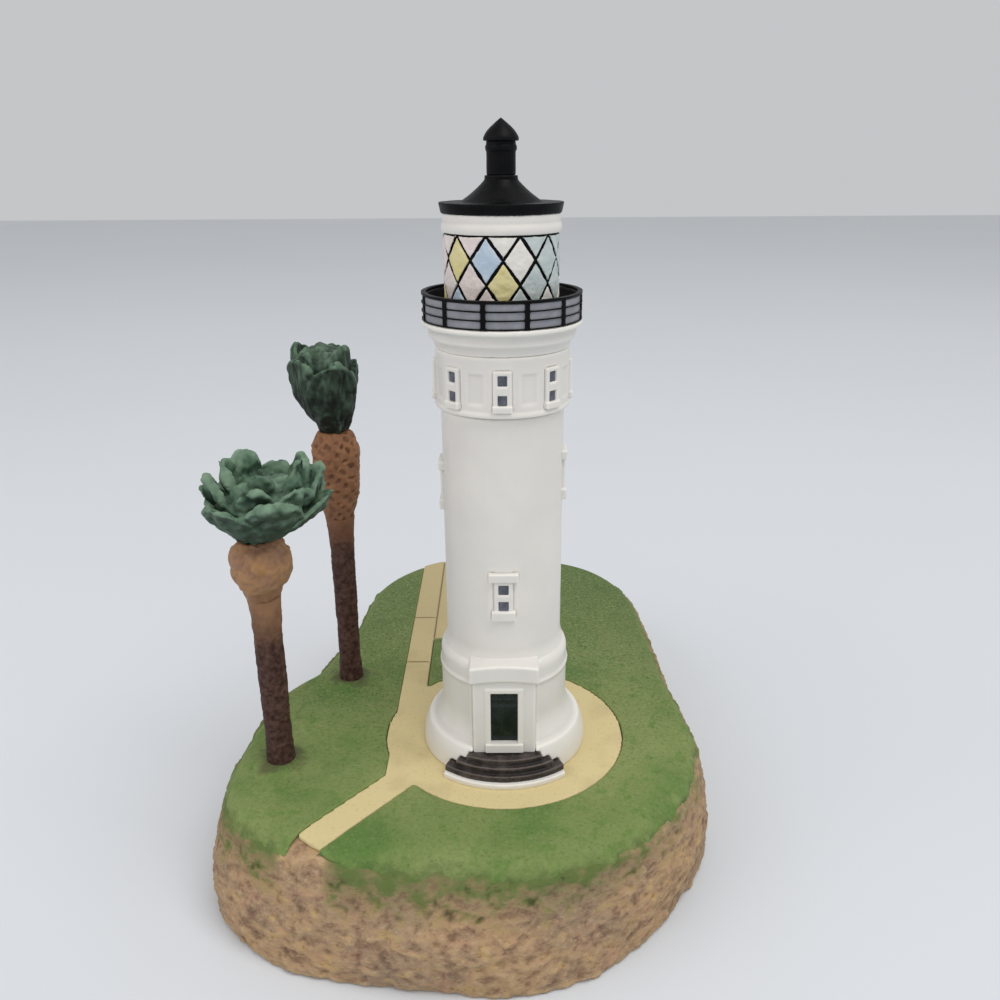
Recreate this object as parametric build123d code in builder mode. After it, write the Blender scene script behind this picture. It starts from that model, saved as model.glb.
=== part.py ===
from build123d import *
import os
from math import cos, hypot, pi, radians, sin, sqrt

# A painted cast lighthouse on a rock base with a lawn, a path and two palms. Sizes are in millimetres.
# The origin is on the tower's axis at the underside. Z is up, the door faces -Y and +X is to the right.

# Fits between the glued castings
glue_gap = 0.1              # room for glue round every spigot and in every pocket
seam_gap = 0.05             # hairline between lawn and paving

# Felt and rock
felt_thickness = 1.2
felt_recess = 1.0           # how deep the felt sits in the rock's underside
felt_inset = 5.0            # rock rim left bare round the felt
base_height = 28.0          # underside to the top of the paving
left_reach = 63.3           # tower's axis to the lawn's edge, four ways
right_reach = 46.2
front_reach = 45.6
back_reach = 103.5
rock_left = 5.2             # how far the rock's foot stands out past the lawn, four ways
rock_right = 3.4
rock_front = 5.6
rock_back = 5.2
rock_undercut = 5.0         # how much less it stands out in front, the further to the right
belly_share = 0.93          # share of that at the rock's belly
rock_belly_height = 13.0
rock_ripple = 0.8           # unevenness of the rock's outline
ripple_step = 2.4           # turn of the ripple from one outline point to the next, in radians
belly_turn = 2.0            # turn of the belly's ripple against the foot's, in radians
turf_thickness = 1.2
turf_roll = 0.9             # how far the turf draws in at its top edge

# Paving
paving_thickness = 1.0
apron_width = 9.2           # ring of paving outside the tower's foot
lane_width = 6.7
lane_offset = 23.5          # tower's axis to the middle of the lane
spur_width = 7.2
spur_bearing = 230.0        # direction of the spur, from +X
spur_root = 14.2            # how far in front of the tower's axis the spur begins
spur_length = 30.8          # from there to its square end, which leaves the rock bare at the edge
yard_width = 12.0           # paving beside the lane, behind the tower
yard_front = 46.0           # tower's axis to the yard's near edge
joint_width = 0.4
joint_depth = 0.25
joint_start = 33.0          # tower's axis to the first slab joint
joint_spacing = 26.0
joint_count = 2

# Tower foot and plinth
shaft_radius = 12.95
plinth_step = 1.5           # plinth wall outside the shaft
plinth_height = 26.8
bead_height = 20.8          # ground to the underside of the plinth's bead
bead_size = 0.8
shoulder_height = 2.4       # rounded shoulder between plinth and shaft
foot_spread = 4.65          # foot ring outside the plinth wall
foot_skirt = 1.0            # upright lower edge of the foot ring
foot_ring_height = 6.8
foot_round = 1.6            # how far the foot ring draws in at its top
foot_ledge = 0.7
flare_height = 13.2         # ground to the top of the flare
foot_spigot_radius = 10.0
foot_spigot_length = 8.0

# Shaft, watch room and gallery
shaft_height = 54.7
spigot_radius = 8.0         # spigot under the shaft, the watch room and the deck
spigot_length = 4.0
watch_step = 0.95           # watch room wall outside the shaft
watch_ledge = 0.3           # ledge outside the watch room wall
watch_ledge_height = 1.3
watch_ledge_slope = 0.43    # sloped underside of the ledge
watch_height = 12.5
panel_width = 3.4
panel_depth = 0.3
deck_cove = 1.25            # each of the two coves steps out by this much
deck_cove_height = 2.2
deck_band_height = 1.1
rail_height = 5.6
rail_inset = 0.05           # railing behind the deck's edge
rail_depth = 0.35           # posts and rails outside the parapet
rail_thickness = 0.4
handrail_thickness = 0.6
parapet_thickness = 0.7
post_count = 12
post_width = 1.05
post_bearing = 17.2         # a post's bearing from the door side
rail_rows = 3

# Lantern and roof
lantern_radius = 11.7
lantern_height = 16.9
pane_relief = 0.45          # panes outside the black core
bar_width = 0.5
lattice_columns = 11
lattice_rise = 4.6          # height from one row of panes to the next
lattice_bearing = 1.5       # bearing of the pane nearest the door side
core_spigot_radius = 7.0
core_spigot_length = 3.0
roof_spigot_length = 1.3    # core's upper spigot inside the roof plate
cornice_height = 3.6
cornice_swell = 0.25
cornice_bulge_height = 2.3  # bulged lower part of the cornice
plate_reach = 0.65          # roof plate outside the lantern
plate_flare = 0.45
plate_height = 2.0
cone_radius = 8.2
cone_height = 4.1
cone_lean = 0.9             # outward lean of the cone's side under the collar
collar_height = 0.8
collar_step = 0.4           # collars outside the stack
stack_radius = 2.85
stack_height = 6.15
stack_spigot_radius = 1.6
stack_spigot_length = 2.0
cap_overhang = 0.6
cap_brim = 0.6
cap_height = 4.25
cap_lean = 0.45             # inward lean of the cap's side over its brim
tip_lean = 1.1              # and at its tip
cap_spigot_length = 1.0     # stack's upper spigot, kept below the cap's thin tip

# Door, portal and steps
entry_root = 10.0           # tower's axis to the back of the portal and steps
slab_reach = 3.1            # slab outside the foot ring
slab_height = 1.2
slab_width = 27.2
tread_setback = 0.9         # lowest tread behind the slab's edge
tread_depth = 1.0
tread_rise = 1.45
tread_count = 3
tread_width = 26.6
tread_taper = 4.8           # each tread is narrower than the one below
step_splay = 3.0            # steps narrow by this much at each end, from front to back
portal_projection = 1.7     # portal face outside the plinth wall
portal_width = 13.6
sill_lift = 0.45            # landing to the sill
sill_height = 2.0
sill_width = 8.3
sill_projection = 0.8
sill_seat = 1.0
door_width = 6.2
door_height = 12.9
door_thickness = 0.9
door_reveal = 0.8           # door face behind the portal face
door_light_columns = 3
door_light_rows = 2
door_light_height = 3.2
door_light_margin = 0.7
door_light_depth = 0.2
architrave_width = 1.0
architrave_relief = 0.3
lintel_height = 2.55        # door head to the hood
hood_height = 3.6
hood_rise = 0.6             # rise of the hood's shallow arch
hood_width = 14.8
hood_projection = 0.7

# Windows
window_seat = 1.0           # frames let into the wall
window_relief = 0.35        # frames standing out of the wall
jamb_width = 0.7
pane_thickness = 0.4
pane_setback = 0.3
shaft_window_width = 2.4
shaft_pane_height = 2.5
shaft_bar = 1.3             # meeting rail between two panes
shaft_sill_height = 2.1
shaft_sill_reach = 0.55
shaft_head_height = 1.8
shaft_head_reach = 1.2
front_window_height = 37.0  # ground to the underside of each sill
right_window_height = 60.9
left_window_height = 58.6
watch_window_count = 8
watch_window_width = 2.1
watch_pane_height = 2.3
watch_bar = 1.6
watch_sill_height = 1.2
watch_sill_reach = 0.15
watch_window_lift = 0.4     # ledge to the underside of the sills

# Palms
palm_peg_radius = 1.8
palm_peg_length = 8.0
palm_spigot_length = 4.0
wire_radius = 0.6
wire_grip = 6.0             # wire let into the trunk and into the crown
trunk_lean = 0.1            # lean of a trunk's side at its ends
boot_swell = 0.3            # outward lean of a boot's side at its foot
boot_draw = 1.2             # inward lean of a boot's side at its neck
front_palm_inset = 11.9     # left edge of the lawn to the trunk's middle
front_palm_y = -11.2
front_trunk_height = 42.0
front_trunk_radius = 3.1
front_trunk_spread = 0.25
front_boot_height = 13.6
front_boot_radius = 6.1
front_belly_height = 4.8    # trunk's top to the widest place on the boot
front_boot_neck = 4.5
front_crown_height = 18.4
front_crown_radius = 13.4
front_bowl_radius = 8.9     # round body inside the leaves
front_bowl_height = 8.0     # crown's foot to that body's widest place
front_bowl_top = 13.0
front_leaf_count = 9
front_leaf_length = 15.0
front_leaf_width = 9.0
front_leaf_tilt = 58.0      # outer leaves, from upright
front_leaf_top = 14.4       # crown's foot to the top of the outer leaves
front_leaf_start = 8.0      # direction of the first outer leaf, from +X
front_heart_count = 4
front_heart_tilt = 24.0     # inner leaves, from upright
front_heart_reach = 7.9     # crown's middle to the outside of the inner leaves
front_heart_start = 33.0
front_crown_shift = 2.6     # crown's middle to the right of the trunk's
rear_palm_inset = 22.7
rear_palm_y = 24.1
rear_trunk_height = 46.7
rear_trunk_radius = 2.85
rear_trunk_spread = 0.35
rear_boot_height = 22.0
rear_boot_radius = 5.9
rear_belly_height = 13.6
rear_boot_neck = 3.6
rear_crown_height = 21.6
rear_crown_radius = 8.4
rear_bowl_neck = 1.8
rear_bowl_radius = 6.8
rear_bowl_height = 11.8
rear_bowl_top = 18.4
rear_leaf_count = 7
rear_leaf_length = 17.0
rear_leaf_width = 6.2
rear_leaf_tilt = 16.0
rear_leaf_top = 20.2
rear_leaf_start = 12.0
rear_heart_count = 3
rear_heart_tilt = 7.0
rear_heart_reach = 4.5
rear_heart_start = 40.0
rear_crown_shift = -1.5

# Levels and radii that follow from the sizes
ground = base_height
rock_bottom = felt_thickness - felt_recess
rock_top = base_height - paving_thickness
turf_top = rock_top + turf_thickness
plinth_radius = shaft_radius + plinth_step
foot_radius = plinth_radius + foot_spread
shaft_base = ground + plinth_height
watch_base = shaft_base + shaft_height
watch_radius = shaft_radius + watch_step
deck_base = watch_base + watch_height
deck_radius = watch_radius + 2 * deck_cove
deck_top = deck_base + 2 * deck_cove_height + deck_band_height
rail_radius = deck_radius - rail_inset
parapet_radius = rail_radius - rail_depth
lantern_top = deck_top + lantern_height
core_radius = lantern_radius - pane_relief
roof_base = lantern_top + cornice_height
plate_top = roof_base + plate_height
stack_base = plate_top + cone_height + collar_height
cap_base = stack_base + stack_height
slab_radius = foot_radius + slab_reach
landing = ground + slab_height + tread_count * tread_rise
portal_face = plinth_radius + portal_projection
door_base = landing + sill_lift + sill_height
door_top = door_base + door_height
hood_base = door_top + lintel_height
hood_top = hood_base + hood_height + hood_rise

# The lawn's outline as shares of the four reaches, from the front round by the right
lawn_shares = [
    (-0.10, -1.00), (0.47, -0.89), (0.83, -0.56), (1.00, -0.10), (0.97, 0.11), (0.91, 0.475), (0.84, 0.75),
    (0.57, 0.93), (0.04, 1.00), (-0.32, 0.98), (-0.53, 0.88), (-0.65, 0.73), (-0.69, 0.51), (-0.75, 0.39),
    (-0.81, 0.265), (-0.91, 0.18), (-0.97, 0.02), (-1.00, -0.33), (-0.96, -0.58), (-0.75, -0.83),
    (-0.42, -0.965),
]


def island(growth, spread=0.0, phase=0):
    """Closed outline of the base, grown outward from its middle. Spread adds a share of how far the rock
    stands out past the lawn, least at the corners, and of its uneven ripple."""
    middle = Vector((right_reach - left_reach) / 2, (back_reach - front_reach) / 2)
    points = []
    for index, (across, along) in enumerate(lawn_shares):
        x = across * (right_reach if across > 0 else left_reach)
        y = along * (back_reach if along > 0 else front_reach)
        corner = Vector(x, y)
        outward = (corner - middle).normalized()
        side = rock_right if outward.X > 0 else rock_left
        end = rock_back if outward.Y > 0 else rock_front - rock_undercut * max(outward.X, 0)
        ripple = rock_ripple * sin(ripple_step * index + phase)
        stand_out = Vector(side * outward.X * abs(outward.X), end * outward.Y * abs(outward.Y))
        points.append(corner + outward * growth + (stand_out + outward * ripple) * spread)
    return points


def island_face(growth, spread=0.0, phase=0):
    """The base's outline as a filled face in the sketch that is open."""
    make_face(Edge.make_spline(island(growth, spread, phase), periodic=True))


def paving_plan(spur, grow=0.0):
    """Apron, lane, yard and a spur of the given length; what runs past the base's edge is trimmed later. The
    lane's left edge runs on in front of the tower until it meets the left edge of the spur."""
    turn = radians(spur_bearing)
    lane_front = spur_root + ((lane_width + grow) * sin(turn) + spur_width / 2 + grow) / cos(turn)
    Circle(foot_radius + apron_width + grow)
    with Locations((-lane_offset, -lane_front)):
        Rectangle(lane_width + 2 * grow, 2 * back_reach, align=(Align.CENTER, Align.MIN))
    with Locations((-lane_offset + lane_width / 2 - grow, yard_front - grow)):
        Rectangle(yard_width + 2 * grow, back_reach, align=(Align.MIN, Align.MIN))
    with Locations(Location((-lane_offset + lane_width / 2, -spur_root, 0), (0, 0, spur_bearing))):
        Rectangle(spur, spur_width + 2 * grow, align=(Align.MIN, Align.CENTER))


def facing(bearing, radius, height):
    """Upright plane looking outward from the tower; bearing 0 is the door side and 90 the right."""
    turn = radians(bearing)
    outward = Vector(sin(turn), -cos(turn), 0)
    across = Vector(cos(turn), sin(turn), 0)
    return Plane(origin=outward * radius + Vector(0, 0, height), x_dir=across, z_dir=outward)


front_palm = Vector(front_palm_inset - left_reach, front_palm_y)
rear_palm = Vector(rear_palm_inset - left_reach, rear_palm_y)
os.makedirs("parts", exist_ok=True)


# Felt pad
with BuildPart() as felt_pad:
    with BuildSketch():
        island_face(-felt_inset, 1)
    extrude(amount=felt_thickness)

# Rock casting, with its felt recess and the sockets for the tower and the palms
with BuildPart() as base_rock:
    with BuildSketch(Plane.XY.offset(rock_bottom)):
        island_face(0, 1)
    with BuildSketch(Plane.XY.offset(rock_belly_height)):
        island_face(0, belly_share, belly_turn)
    with BuildSketch(Plane.XY.offset(rock_top)):
        island_face(0)
    loft()
    with BuildSketch(Plane.XY.offset(rock_bottom)):
        island_face(glue_gap - felt_inset, 1)
    extrude(amount=felt_recess, mode=Mode.SUBTRACT)
    with BuildSketch(Plane.XY.offset(ground)):
        Circle(foot_spigot_radius + glue_gap)
    extrude(amount=-foot_spigot_length - glue_gap, mode=Mode.SUBTRACT)
    with BuildSketch(Plane.XY.offset(turf_top)):
        with Locations(front_palm, rear_palm):
            Circle(palm_peg_radius + glue_gap)
    extrude(amount=-palm_peg_length - glue_gap, mode=Mode.SUBTRACT)

# The sheet of turf before the paving is cut out of it
with BuildPart() as turf_sheet:
    with BuildSketch(Plane.XY.offset(rock_top)):
        island_face(0)
    with BuildSketch(Plane.XY.offset(turf_top)):
        island_face(-turf_roll)
    loft()

# Lawn in two fields
with BuildPart() as lawn:
    add(turf_sheet.part)
    with BuildSketch(Plane.XY.offset(rock_top)):
        paving_plan(left_reach, seam_gap)
    extrude(amount=turf_thickness, mode=Mode.SUBTRACT)
    with BuildSketch(Plane.XY.offset(rock_top)):
        with Locations(front_palm, rear_palm):
            Circle(palm_peg_radius + glue_gap)
    extrude(amount=turf_thickness, mode=Mode.SUBTRACT)

# Paving with its scored joints
with BuildPart() as path_paving:
    with BuildSketch(Plane.XY.offset(rock_top)):
        paving_plan(spur_length)
        Circle(foot_spigot_radius + glue_gap, mode=Mode.SUBTRACT)
    extrude(amount=paving_thickness)
    add(turf_sheet.part, mode=Mode.INTERSECT)
    with BuildSketch(Plane.XY.offset(ground)):
        for joint in range(joint_count):
            with Locations((-lane_offset, joint_start + joint * joint_spacing)):
                Rectangle(lane_width, joint_width)
        with Locations((-lane_offset + lane_width / 2, yard_front)):
            Rectangle(joint_width, back_reach, align=(Align.CENTER, Align.MIN))
    extrude(amount=-joint_depth, mode=Mode.SUBTRACT)


# Steps and portal, drawn once for the pieces and once, grown, for the pocket that takes them
def step_plan(radius, width, bottom, grow=0.0):
    """Plan of one step, round in front about the tower's axis, with splayed ends and a square back."""
    half = width / 2 + grow
    tip = -sqrt(radius * radius - width * width / 4)
    back = -entry_root + grow
    with BuildSketch(Plane.XY.offset(bottom)) as plan:
        Circle(radius + grow)
        with BuildLine():
            Polyline(
                (-half, -2 * radius), (half, -2 * radius), (half, tip), (half - step_splay, back),
                (step_splay - half, back), (-half, tip), close=True,
            )
        make_face(mode=Mode.INTERSECT)
    return plan.sketch


def portal_plan(width, face, bottom, grow=0.0):
    """Plan of one upright block of the portal, from its face back to the root."""
    with BuildSketch(Plane.XY.offset(bottom)) as plan:
        with Locations((0, -entry_root + grow)):
            Rectangle(width + 2 * grow, face - entry_root + 2 * grow, align=(Align.CENTER, Align.MAX))
    return plan.sketch


def tread_plan(step, grow=0.0):
    """Plan of one dark tread, counted from the lowest."""
    radius = slab_radius - tread_setback - step * tread_depth
    bottom = ground + slab_height + step * tread_rise
    return step_plan(radius, tread_width - step * tread_taper, bottom, grow)


def core_cut(radius):
    """Clears the round core of the plinth and shaft out of an entry piece."""
    Cylinder(radius, 2 * hood_top, mode=Mode.SUBTRACT)


with BuildPart() as entry_pocket:
    extrude(step_plan(slab_radius, slab_width, ground, glue_gap), amount=slab_height + glue_gap)
    for step in range(tread_count):
        extrude(tread_plan(step, glue_gap), amount=tread_rise + glue_gap)
    extrude(portal_plan(portal_width, slab_radius, landing, glue_gap), amount=hood_base - landing)
    extrude(
        portal_plan(hood_width, slab_radius, hood_base - glue_gap, glue_gap),
        amount=hood_top - hood_base + 2 * glue_gap,
    )
    core_cut(shaft_radius)

# Flared foot and plinth
with BuildPart() as tower_plinth:
    with BuildSketch(Plane.XZ):
        with BuildLine():
            ring_top = ground + foot_ring_height
            flare_top = ground + flare_height
            bead_base = ground + bead_height
            flare_foot = foot_radius - foot_round - foot_ledge
            skirt_top = ground + foot_skirt
            Polyline(
                (0, ground - foot_spigot_length), (foot_spigot_radius, ground - foot_spigot_length),
                (foot_spigot_radius, ground), (foot_radius, ground), (foot_radius, skirt_top),
            )
            TangentArc((foot_radius, skirt_top), (foot_radius - foot_round, ring_top), tangent=(0, 1))
            Line((foot_radius - foot_round, ring_top), (flare_foot, ring_top))
            TangentArc((plinth_radius, flare_top), (flare_foot, ring_top), tangent=(0, -1))
            Line((plinth_radius, flare_top), (plinth_radius, bead_base))
            TangentArc((plinth_radius, bead_base), (plinth_radius, bead_base + bead_size), tangent=(1, 0))
            shoulder_base = shaft_base - shoulder_height
            Line((plinth_radius, bead_base + bead_size), (plinth_radius, shoulder_base))
            TangentArc((plinth_radius, shoulder_base), (shaft_radius, shaft_base), tangent=(0, 1))
            Polyline((shaft_radius, shaft_base), (0, shaft_base), (0, ground - foot_spigot_length))
        make_face()
    revolve(axis=Axis.Z)
    add(entry_pocket.part, mode=Mode.SUBTRACT)
    with BuildSketch(Plane.XY.offset(shaft_base)):
        Circle(spigot_radius + glue_gap)
    extrude(amount=-spigot_length - glue_gap, mode=Mode.SUBTRACT)

# White slab and dark treads
with BuildPart() as step_slab:
    extrude(step_plan(slab_radius, slab_width, ground), amount=slab_height)
    core_cut(shaft_radius + glue_gap)

with BuildPart() as entry_steps:
    for step in range(tread_count):
        extrude(tread_plan(step), amount=tread_rise)
    core_cut(shaft_radius + glue_gap)

# Portal with architrave, shallow arched hood, and recesses for the door and its sill
with BuildPart() as door_portal:
    extrude(portal_plan(portal_width, portal_face, landing), amount=hood_base + hood_rise - landing)
    with BuildSketch(Plane.XZ.offset(portal_face)):
        with Locations((0, door_base)):
            Rectangle(
                door_width + 2 * architrave_width, door_height + architrave_width,
                align=(Align.CENTER, Align.MIN),
            )
    extrude(amount=architrave_relief)
    with BuildSketch(Plane.XZ.offset(portal_face + hood_projection)):
        with BuildLine():
            half = hood_width / 2
            hood_end_top = hood_base + hood_height
            ThreePointArc((-half, hood_base), (0, hood_base + hood_rise), (half, hood_base))
            Line((half, hood_base), (half, hood_end_top))
            ThreePointArc((half, hood_end_top), (0, hood_top), (-half, hood_end_top))
            Line((-half, hood_end_top), (-half, hood_base))
        make_face()
    extrude(amount=-(portal_face + hood_projection - entry_root))
    core_cut(shaft_radius + glue_gap)
    with BuildSketch(Plane.XZ.offset(portal_face + architrave_relief)):
        with Locations((0, door_base)):
            Rectangle(door_width, door_height, align=(Align.CENTER, Align.MIN))
    extrude(amount=-(architrave_relief + door_reveal + door_thickness), mode=Mode.SUBTRACT)
    with BuildSketch(Plane.XZ.offset(portal_face + architrave_relief)):
        with Locations((0, landing + sill_lift)):
            Rectangle(sill_width + 2 * glue_gap, sill_height, align=(Align.CENTER, Align.MIN))
    extrude(amount=-(architrave_relief + sill_seat), mode=Mode.SUBTRACT)

# Door leaf with its row of small panes sunk into the top
with BuildPart() as door_leaf:
    leaf_face = portal_face - door_reveal
    with BuildSketch(Plane.XZ.offset(leaf_face)):
        with Locations((0, door_base)):
            Rectangle(door_width - 2 * seam_gap, door_height - seam_gap, align=(Align.CENTER, Align.MIN))
    extrude(amount=-door_thickness)
    light_pitch = (door_width - door_light_margin) / door_light_columns
    light_rise = door_light_height / door_light_rows
    with BuildSketch(Plane.XZ.offset(leaf_face)):
        with Locations((0, door_top - door_light_margin - door_light_height / 2)):
            with GridLocations(light_pitch, light_rise, door_light_columns, door_light_rows):
                Rectangle(light_pitch - door_light_margin / 2, light_rise - door_light_margin / 2)
    extrude(amount=-door_light_depth, mode=Mode.SUBTRACT)

with BuildPart() as door_sill:
    with BuildSketch(Plane.XZ.offset(portal_face - sill_seat)):
        with Locations((0, landing + sill_lift)):
            Rectangle(sill_width, sill_height, align=(Align.CENTER, Align.MIN))
    extrude(amount=sill_seat + sill_projection)


# Windows: a frame let into the wall, with two panes one above the other
def window_block(place, width, bottom, height, outer, grow, mode):
    """One box of a window on its upright plane, which lies at the back of the pocket."""
    with Locations(place):
        with Locations((0, bottom - grow, -grow)):
            Box(
                width + 2 * grow, height + 2 * grow, window_seat + outer + 2 * grow,
                align=(Align.CENTER, Align.MIN, Align.MIN), mode=mode,
            )


def shaft_window(place, grow=0.0, mode=Mode.ADD):
    """Frame, sill and hood of a shaft window, or grown, the pocket for them."""
    frame_width = shaft_window_width + 2 * jamb_width
    frame_height = 2 * shaft_pane_height + shaft_bar + jamb_width
    head = shaft_sill_height + frame_height
    head_width = frame_width + 2 * shaft_head_reach
    sill_span = frame_width + 2 * shaft_sill_reach
    proud = 2 * window_relief
    window_block(place, frame_width, shaft_sill_height, frame_height, window_relief, grow, mode)
    window_block(place, sill_span, 0, shaft_sill_height, proud, grow, mode)
    window_block(place, head_width, head, shaft_head_height, proud, grow, mode)


def watch_window(place, grow=0.0, mode=Mode.ADD):
    """Frame and sill of a watch room window, or grown, the pocket for them."""
    frame_width = watch_window_width + 2 * jamb_width
    frame_height = 2 * watch_pane_height + watch_bar + jamb_width
    window_block(place, frame_width, watch_sill_height, frame_height, window_relief, grow, mode)
    sill_span = frame_width + 2 * watch_sill_reach
    window_block(place, sill_span, 0, watch_sill_height, 2 * window_relief, grow, mode)


def pane_pair(place, width, bottom, height, bar, shrink, depth, mode):
    """Two panes behind a frame's face, or the openings for them."""
    face = window_seat + window_relief - pane_setback
    for pane in range(2):
        with Locations(place):
            with Locations((0, bottom + pane * (height + bar) + shrink, face)):
                Box(
                    width - 2 * shrink, height - 2 * shrink, depth,
                    align=(Align.CENTER, Align.MIN, Align.MAX), mode=mode,
                )


shaft_window_places = [
    facing(0, shaft_radius - window_seat, ground + front_window_height),
    facing(90, shaft_radius - window_seat, ground + right_window_height),
    facing(-90, shaft_radius - window_seat, ground + left_window_height),
]
watch_pitch = 360 / watch_window_count
watch_sill_base = watch_base + watch_ledge_height + watch_window_lift
watch_window_places = [
    facing(number * watch_pitch, watch_radius - window_seat, watch_sill_base)
    for number in range(watch_window_count)
]

with BuildPart() as tower_shaft:
    with BuildSketch(Plane.XY.offset(shaft_base)):
        Circle(shaft_radius)
    extrude(amount=shaft_height)
    with BuildSketch(Plane.XY.offset(shaft_base)):
        Circle(spigot_radius)
    extrude(amount=-spigot_length)
    with BuildSketch(Plane.XY.offset(watch_base)):
        Circle(spigot_radius + glue_gap)
    extrude(amount=-spigot_length - glue_gap, mode=Mode.SUBTRACT)
    for place in shaft_window_places:
        shaft_window(place, glue_gap, Mode.SUBTRACT)

with BuildPart() as shaft_window_frames:
    for place in shaft_window_places:
        shaft_window(place)
    for place in shaft_window_places:
        pane_pair(
            place, shaft_window_width, shaft_sill_height, shaft_pane_height, shaft_bar,
            0, pane_thickness, Mode.SUBTRACT,
        )
        pane_pair(
            place.offset(pane_setback), shaft_window_width, shaft_sill_height, shaft_pane_height, shaft_bar,
            0, pane_setback, Mode.SUBTRACT,
        )

with BuildPart() as shaft_window_panes:
    for place in shaft_window_places:
        pane_pair(
            place, shaft_window_width, shaft_sill_height, shaft_pane_height, shaft_bar,
            seam_gap, pane_thickness, Mode.ADD,
        )

# Watch room with sunk panels between its windows
with BuildPart() as watch_room:
    with BuildSketch(Plane.XZ):
        with BuildLine():
            ledge_radius = watch_radius + watch_ledge
            ledge_top = watch_base + watch_ledge_height
            Polyline(
                (0, watch_base - spigot_length), (spigot_radius, watch_base - spigot_length),
                (spigot_radius, watch_base), (shaft_radius, watch_base),
                (ledge_radius, watch_base + watch_ledge_slope), (ledge_radius, ledge_top),
                (watch_radius, ledge_top), (watch_radius, deck_base), (0, deck_base),
                (0, watch_base - spigot_length),
            )
        make_face()
    revolve(axis=Axis.Z)
    with BuildSketch(Plane.XY.offset(deck_base)):
        Circle(spigot_radius + glue_gap)
    extrude(amount=-spigot_length - glue_gap, mode=Mode.SUBTRACT)
    for place in watch_window_places:
        watch_window(place, glue_gap, Mode.SUBTRACT)
    panel_height = 2 * watch_pane_height + watch_bar
    for number in range(watch_window_count):
        panel = facing((number + 0.5) * watch_pitch, watch_radius - panel_depth, watch_sill_base)
        window_block(panel, panel_width, watch_sill_height, panel_height, panel_depth, 0, Mode.SUBTRACT)

with BuildPart() as watch_window_frames:
    for place in watch_window_places:
        watch_window(place)
    for place in watch_window_places:
        pane_pair(
            place, watch_window_width, watch_sill_height, watch_pane_height, watch_bar,
            0, pane_thickness, Mode.SUBTRACT,
        )
        pane_pair(
            place.offset(pane_setback), watch_window_width, watch_sill_height, watch_pane_height, watch_bar,
            0, pane_setback, Mode.SUBTRACT,
        )

with BuildPart() as watch_window_panes:
    for place in watch_window_places:
        pane_pair(
            place, watch_window_width, watch_sill_height, watch_pane_height, watch_bar,
            seam_gap, pane_thickness, Mode.ADD,
        )

# Gallery deck: two coves, each with a plain band over it
with BuildPart() as gallery_deck:
    with BuildSketch(Plane.XZ):
        with BuildLine():
            first_cove = deck_radius - deck_cove
            band_base = deck_base + deck_cove_height
            band_top = band_base + deck_band_height
            second_top = deck_top - deck_band_height
            Polyline(
                (0, deck_base - spigot_length), (spigot_radius, deck_base - spigot_length),
                (spigot_radius, deck_base), (watch_radius, deck_base),
            )
            TangentArc((watch_radius, deck_base), (first_cove, band_base), tangent=(0, 1))
            Line((first_cove, band_base), (first_cove, band_top))
            TangentArc((first_cove, band_top), (deck_radius, second_top), tangent=(0, 1))
            Polyline(
                (deck_radius, second_top), (deck_radius, deck_top), (0, deck_top),
                (0, deck_base - spigot_length),
            )
        make_face()
    revolve(axis=Axis.Z)
    with BuildSketch(Plane.XY.offset(deck_top)):
        Circle(core_spigot_radius + glue_gap)
    extrude(amount=-core_spigot_length - glue_gap, mode=Mode.SUBTRACT)


# Gallery railing in front of the parapet
def ring_plan(inner, outer, bottom):
    """Plan of a flat ring about the tower's axis."""
    with BuildSketch(Plane.XY.offset(bottom)) as plan:
        Circle(outer)
        Circle(inner, mode=Mode.SUBTRACT)
    return plan.sketch


parapet_height = rail_height - handrail_thickness
parapet_inside = parapet_radius - parapet_thickness
with BuildPart() as gallery_parapet:
    extrude(ring_plan(parapet_inside, parapet_radius, deck_top), amount=parapet_height)

with BuildPart() as gallery_railing:
    rail_back = parapet_radius + seam_gap
    extrude(ring_plan(parapet_inside, rail_radius, deck_top + parapet_height), amount=handrail_thickness)
    for row in range(rail_rows):
        extrude(
            ring_plan(rail_back, rail_radius, deck_top + row * parapet_height / rail_rows),
            amount=rail_thickness,
        )
    for number in range(post_count):
        with Locations(facing(post_bearing + number * 360 / post_count, rail_back, deck_top)):
            Box(post_width, parapet_height, rail_depth, align=(Align.CENTER, Align.MIN, Align.MIN))
    with BuildSketch(Plane.XY.offset(deck_top)):
        Circle(rail_back)
    extrude(amount=parapet_height, mode=Mode.SUBTRACT)

# Lantern core, whose surface shows as bars between the panes
with BuildPart() as lantern_core:
    with BuildSketch(Plane.XY.offset(deck_top)):
        Circle(core_radius)
    extrude(amount=lantern_height)
    with BuildSketch(Plane.XY.offset(deck_top - core_spigot_length)):
        Circle(core_spigot_radius)
    extrude(amount=core_spigot_length + lantern_height + cornice_height + roof_spigot_length)

# Panes by row, from the top down: W white, P pink, Y yellow, B blue, G grey. The first letter of a row is
# the pane at the door side and the rest follow to the right, all the way round.
pane_rows = ["WGGBWPWYBPP", "WGGPWBYGPYB", "YGGWBPYWGPP", "GWPYBGWPYBP"]
pane_half_width = pi * lantern_radius / lattice_columns
pane_shrink = 1 - bar_width / 2 * hypot(pane_half_width, lattice_rise) / (pane_half_width * lattice_rise)


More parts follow.
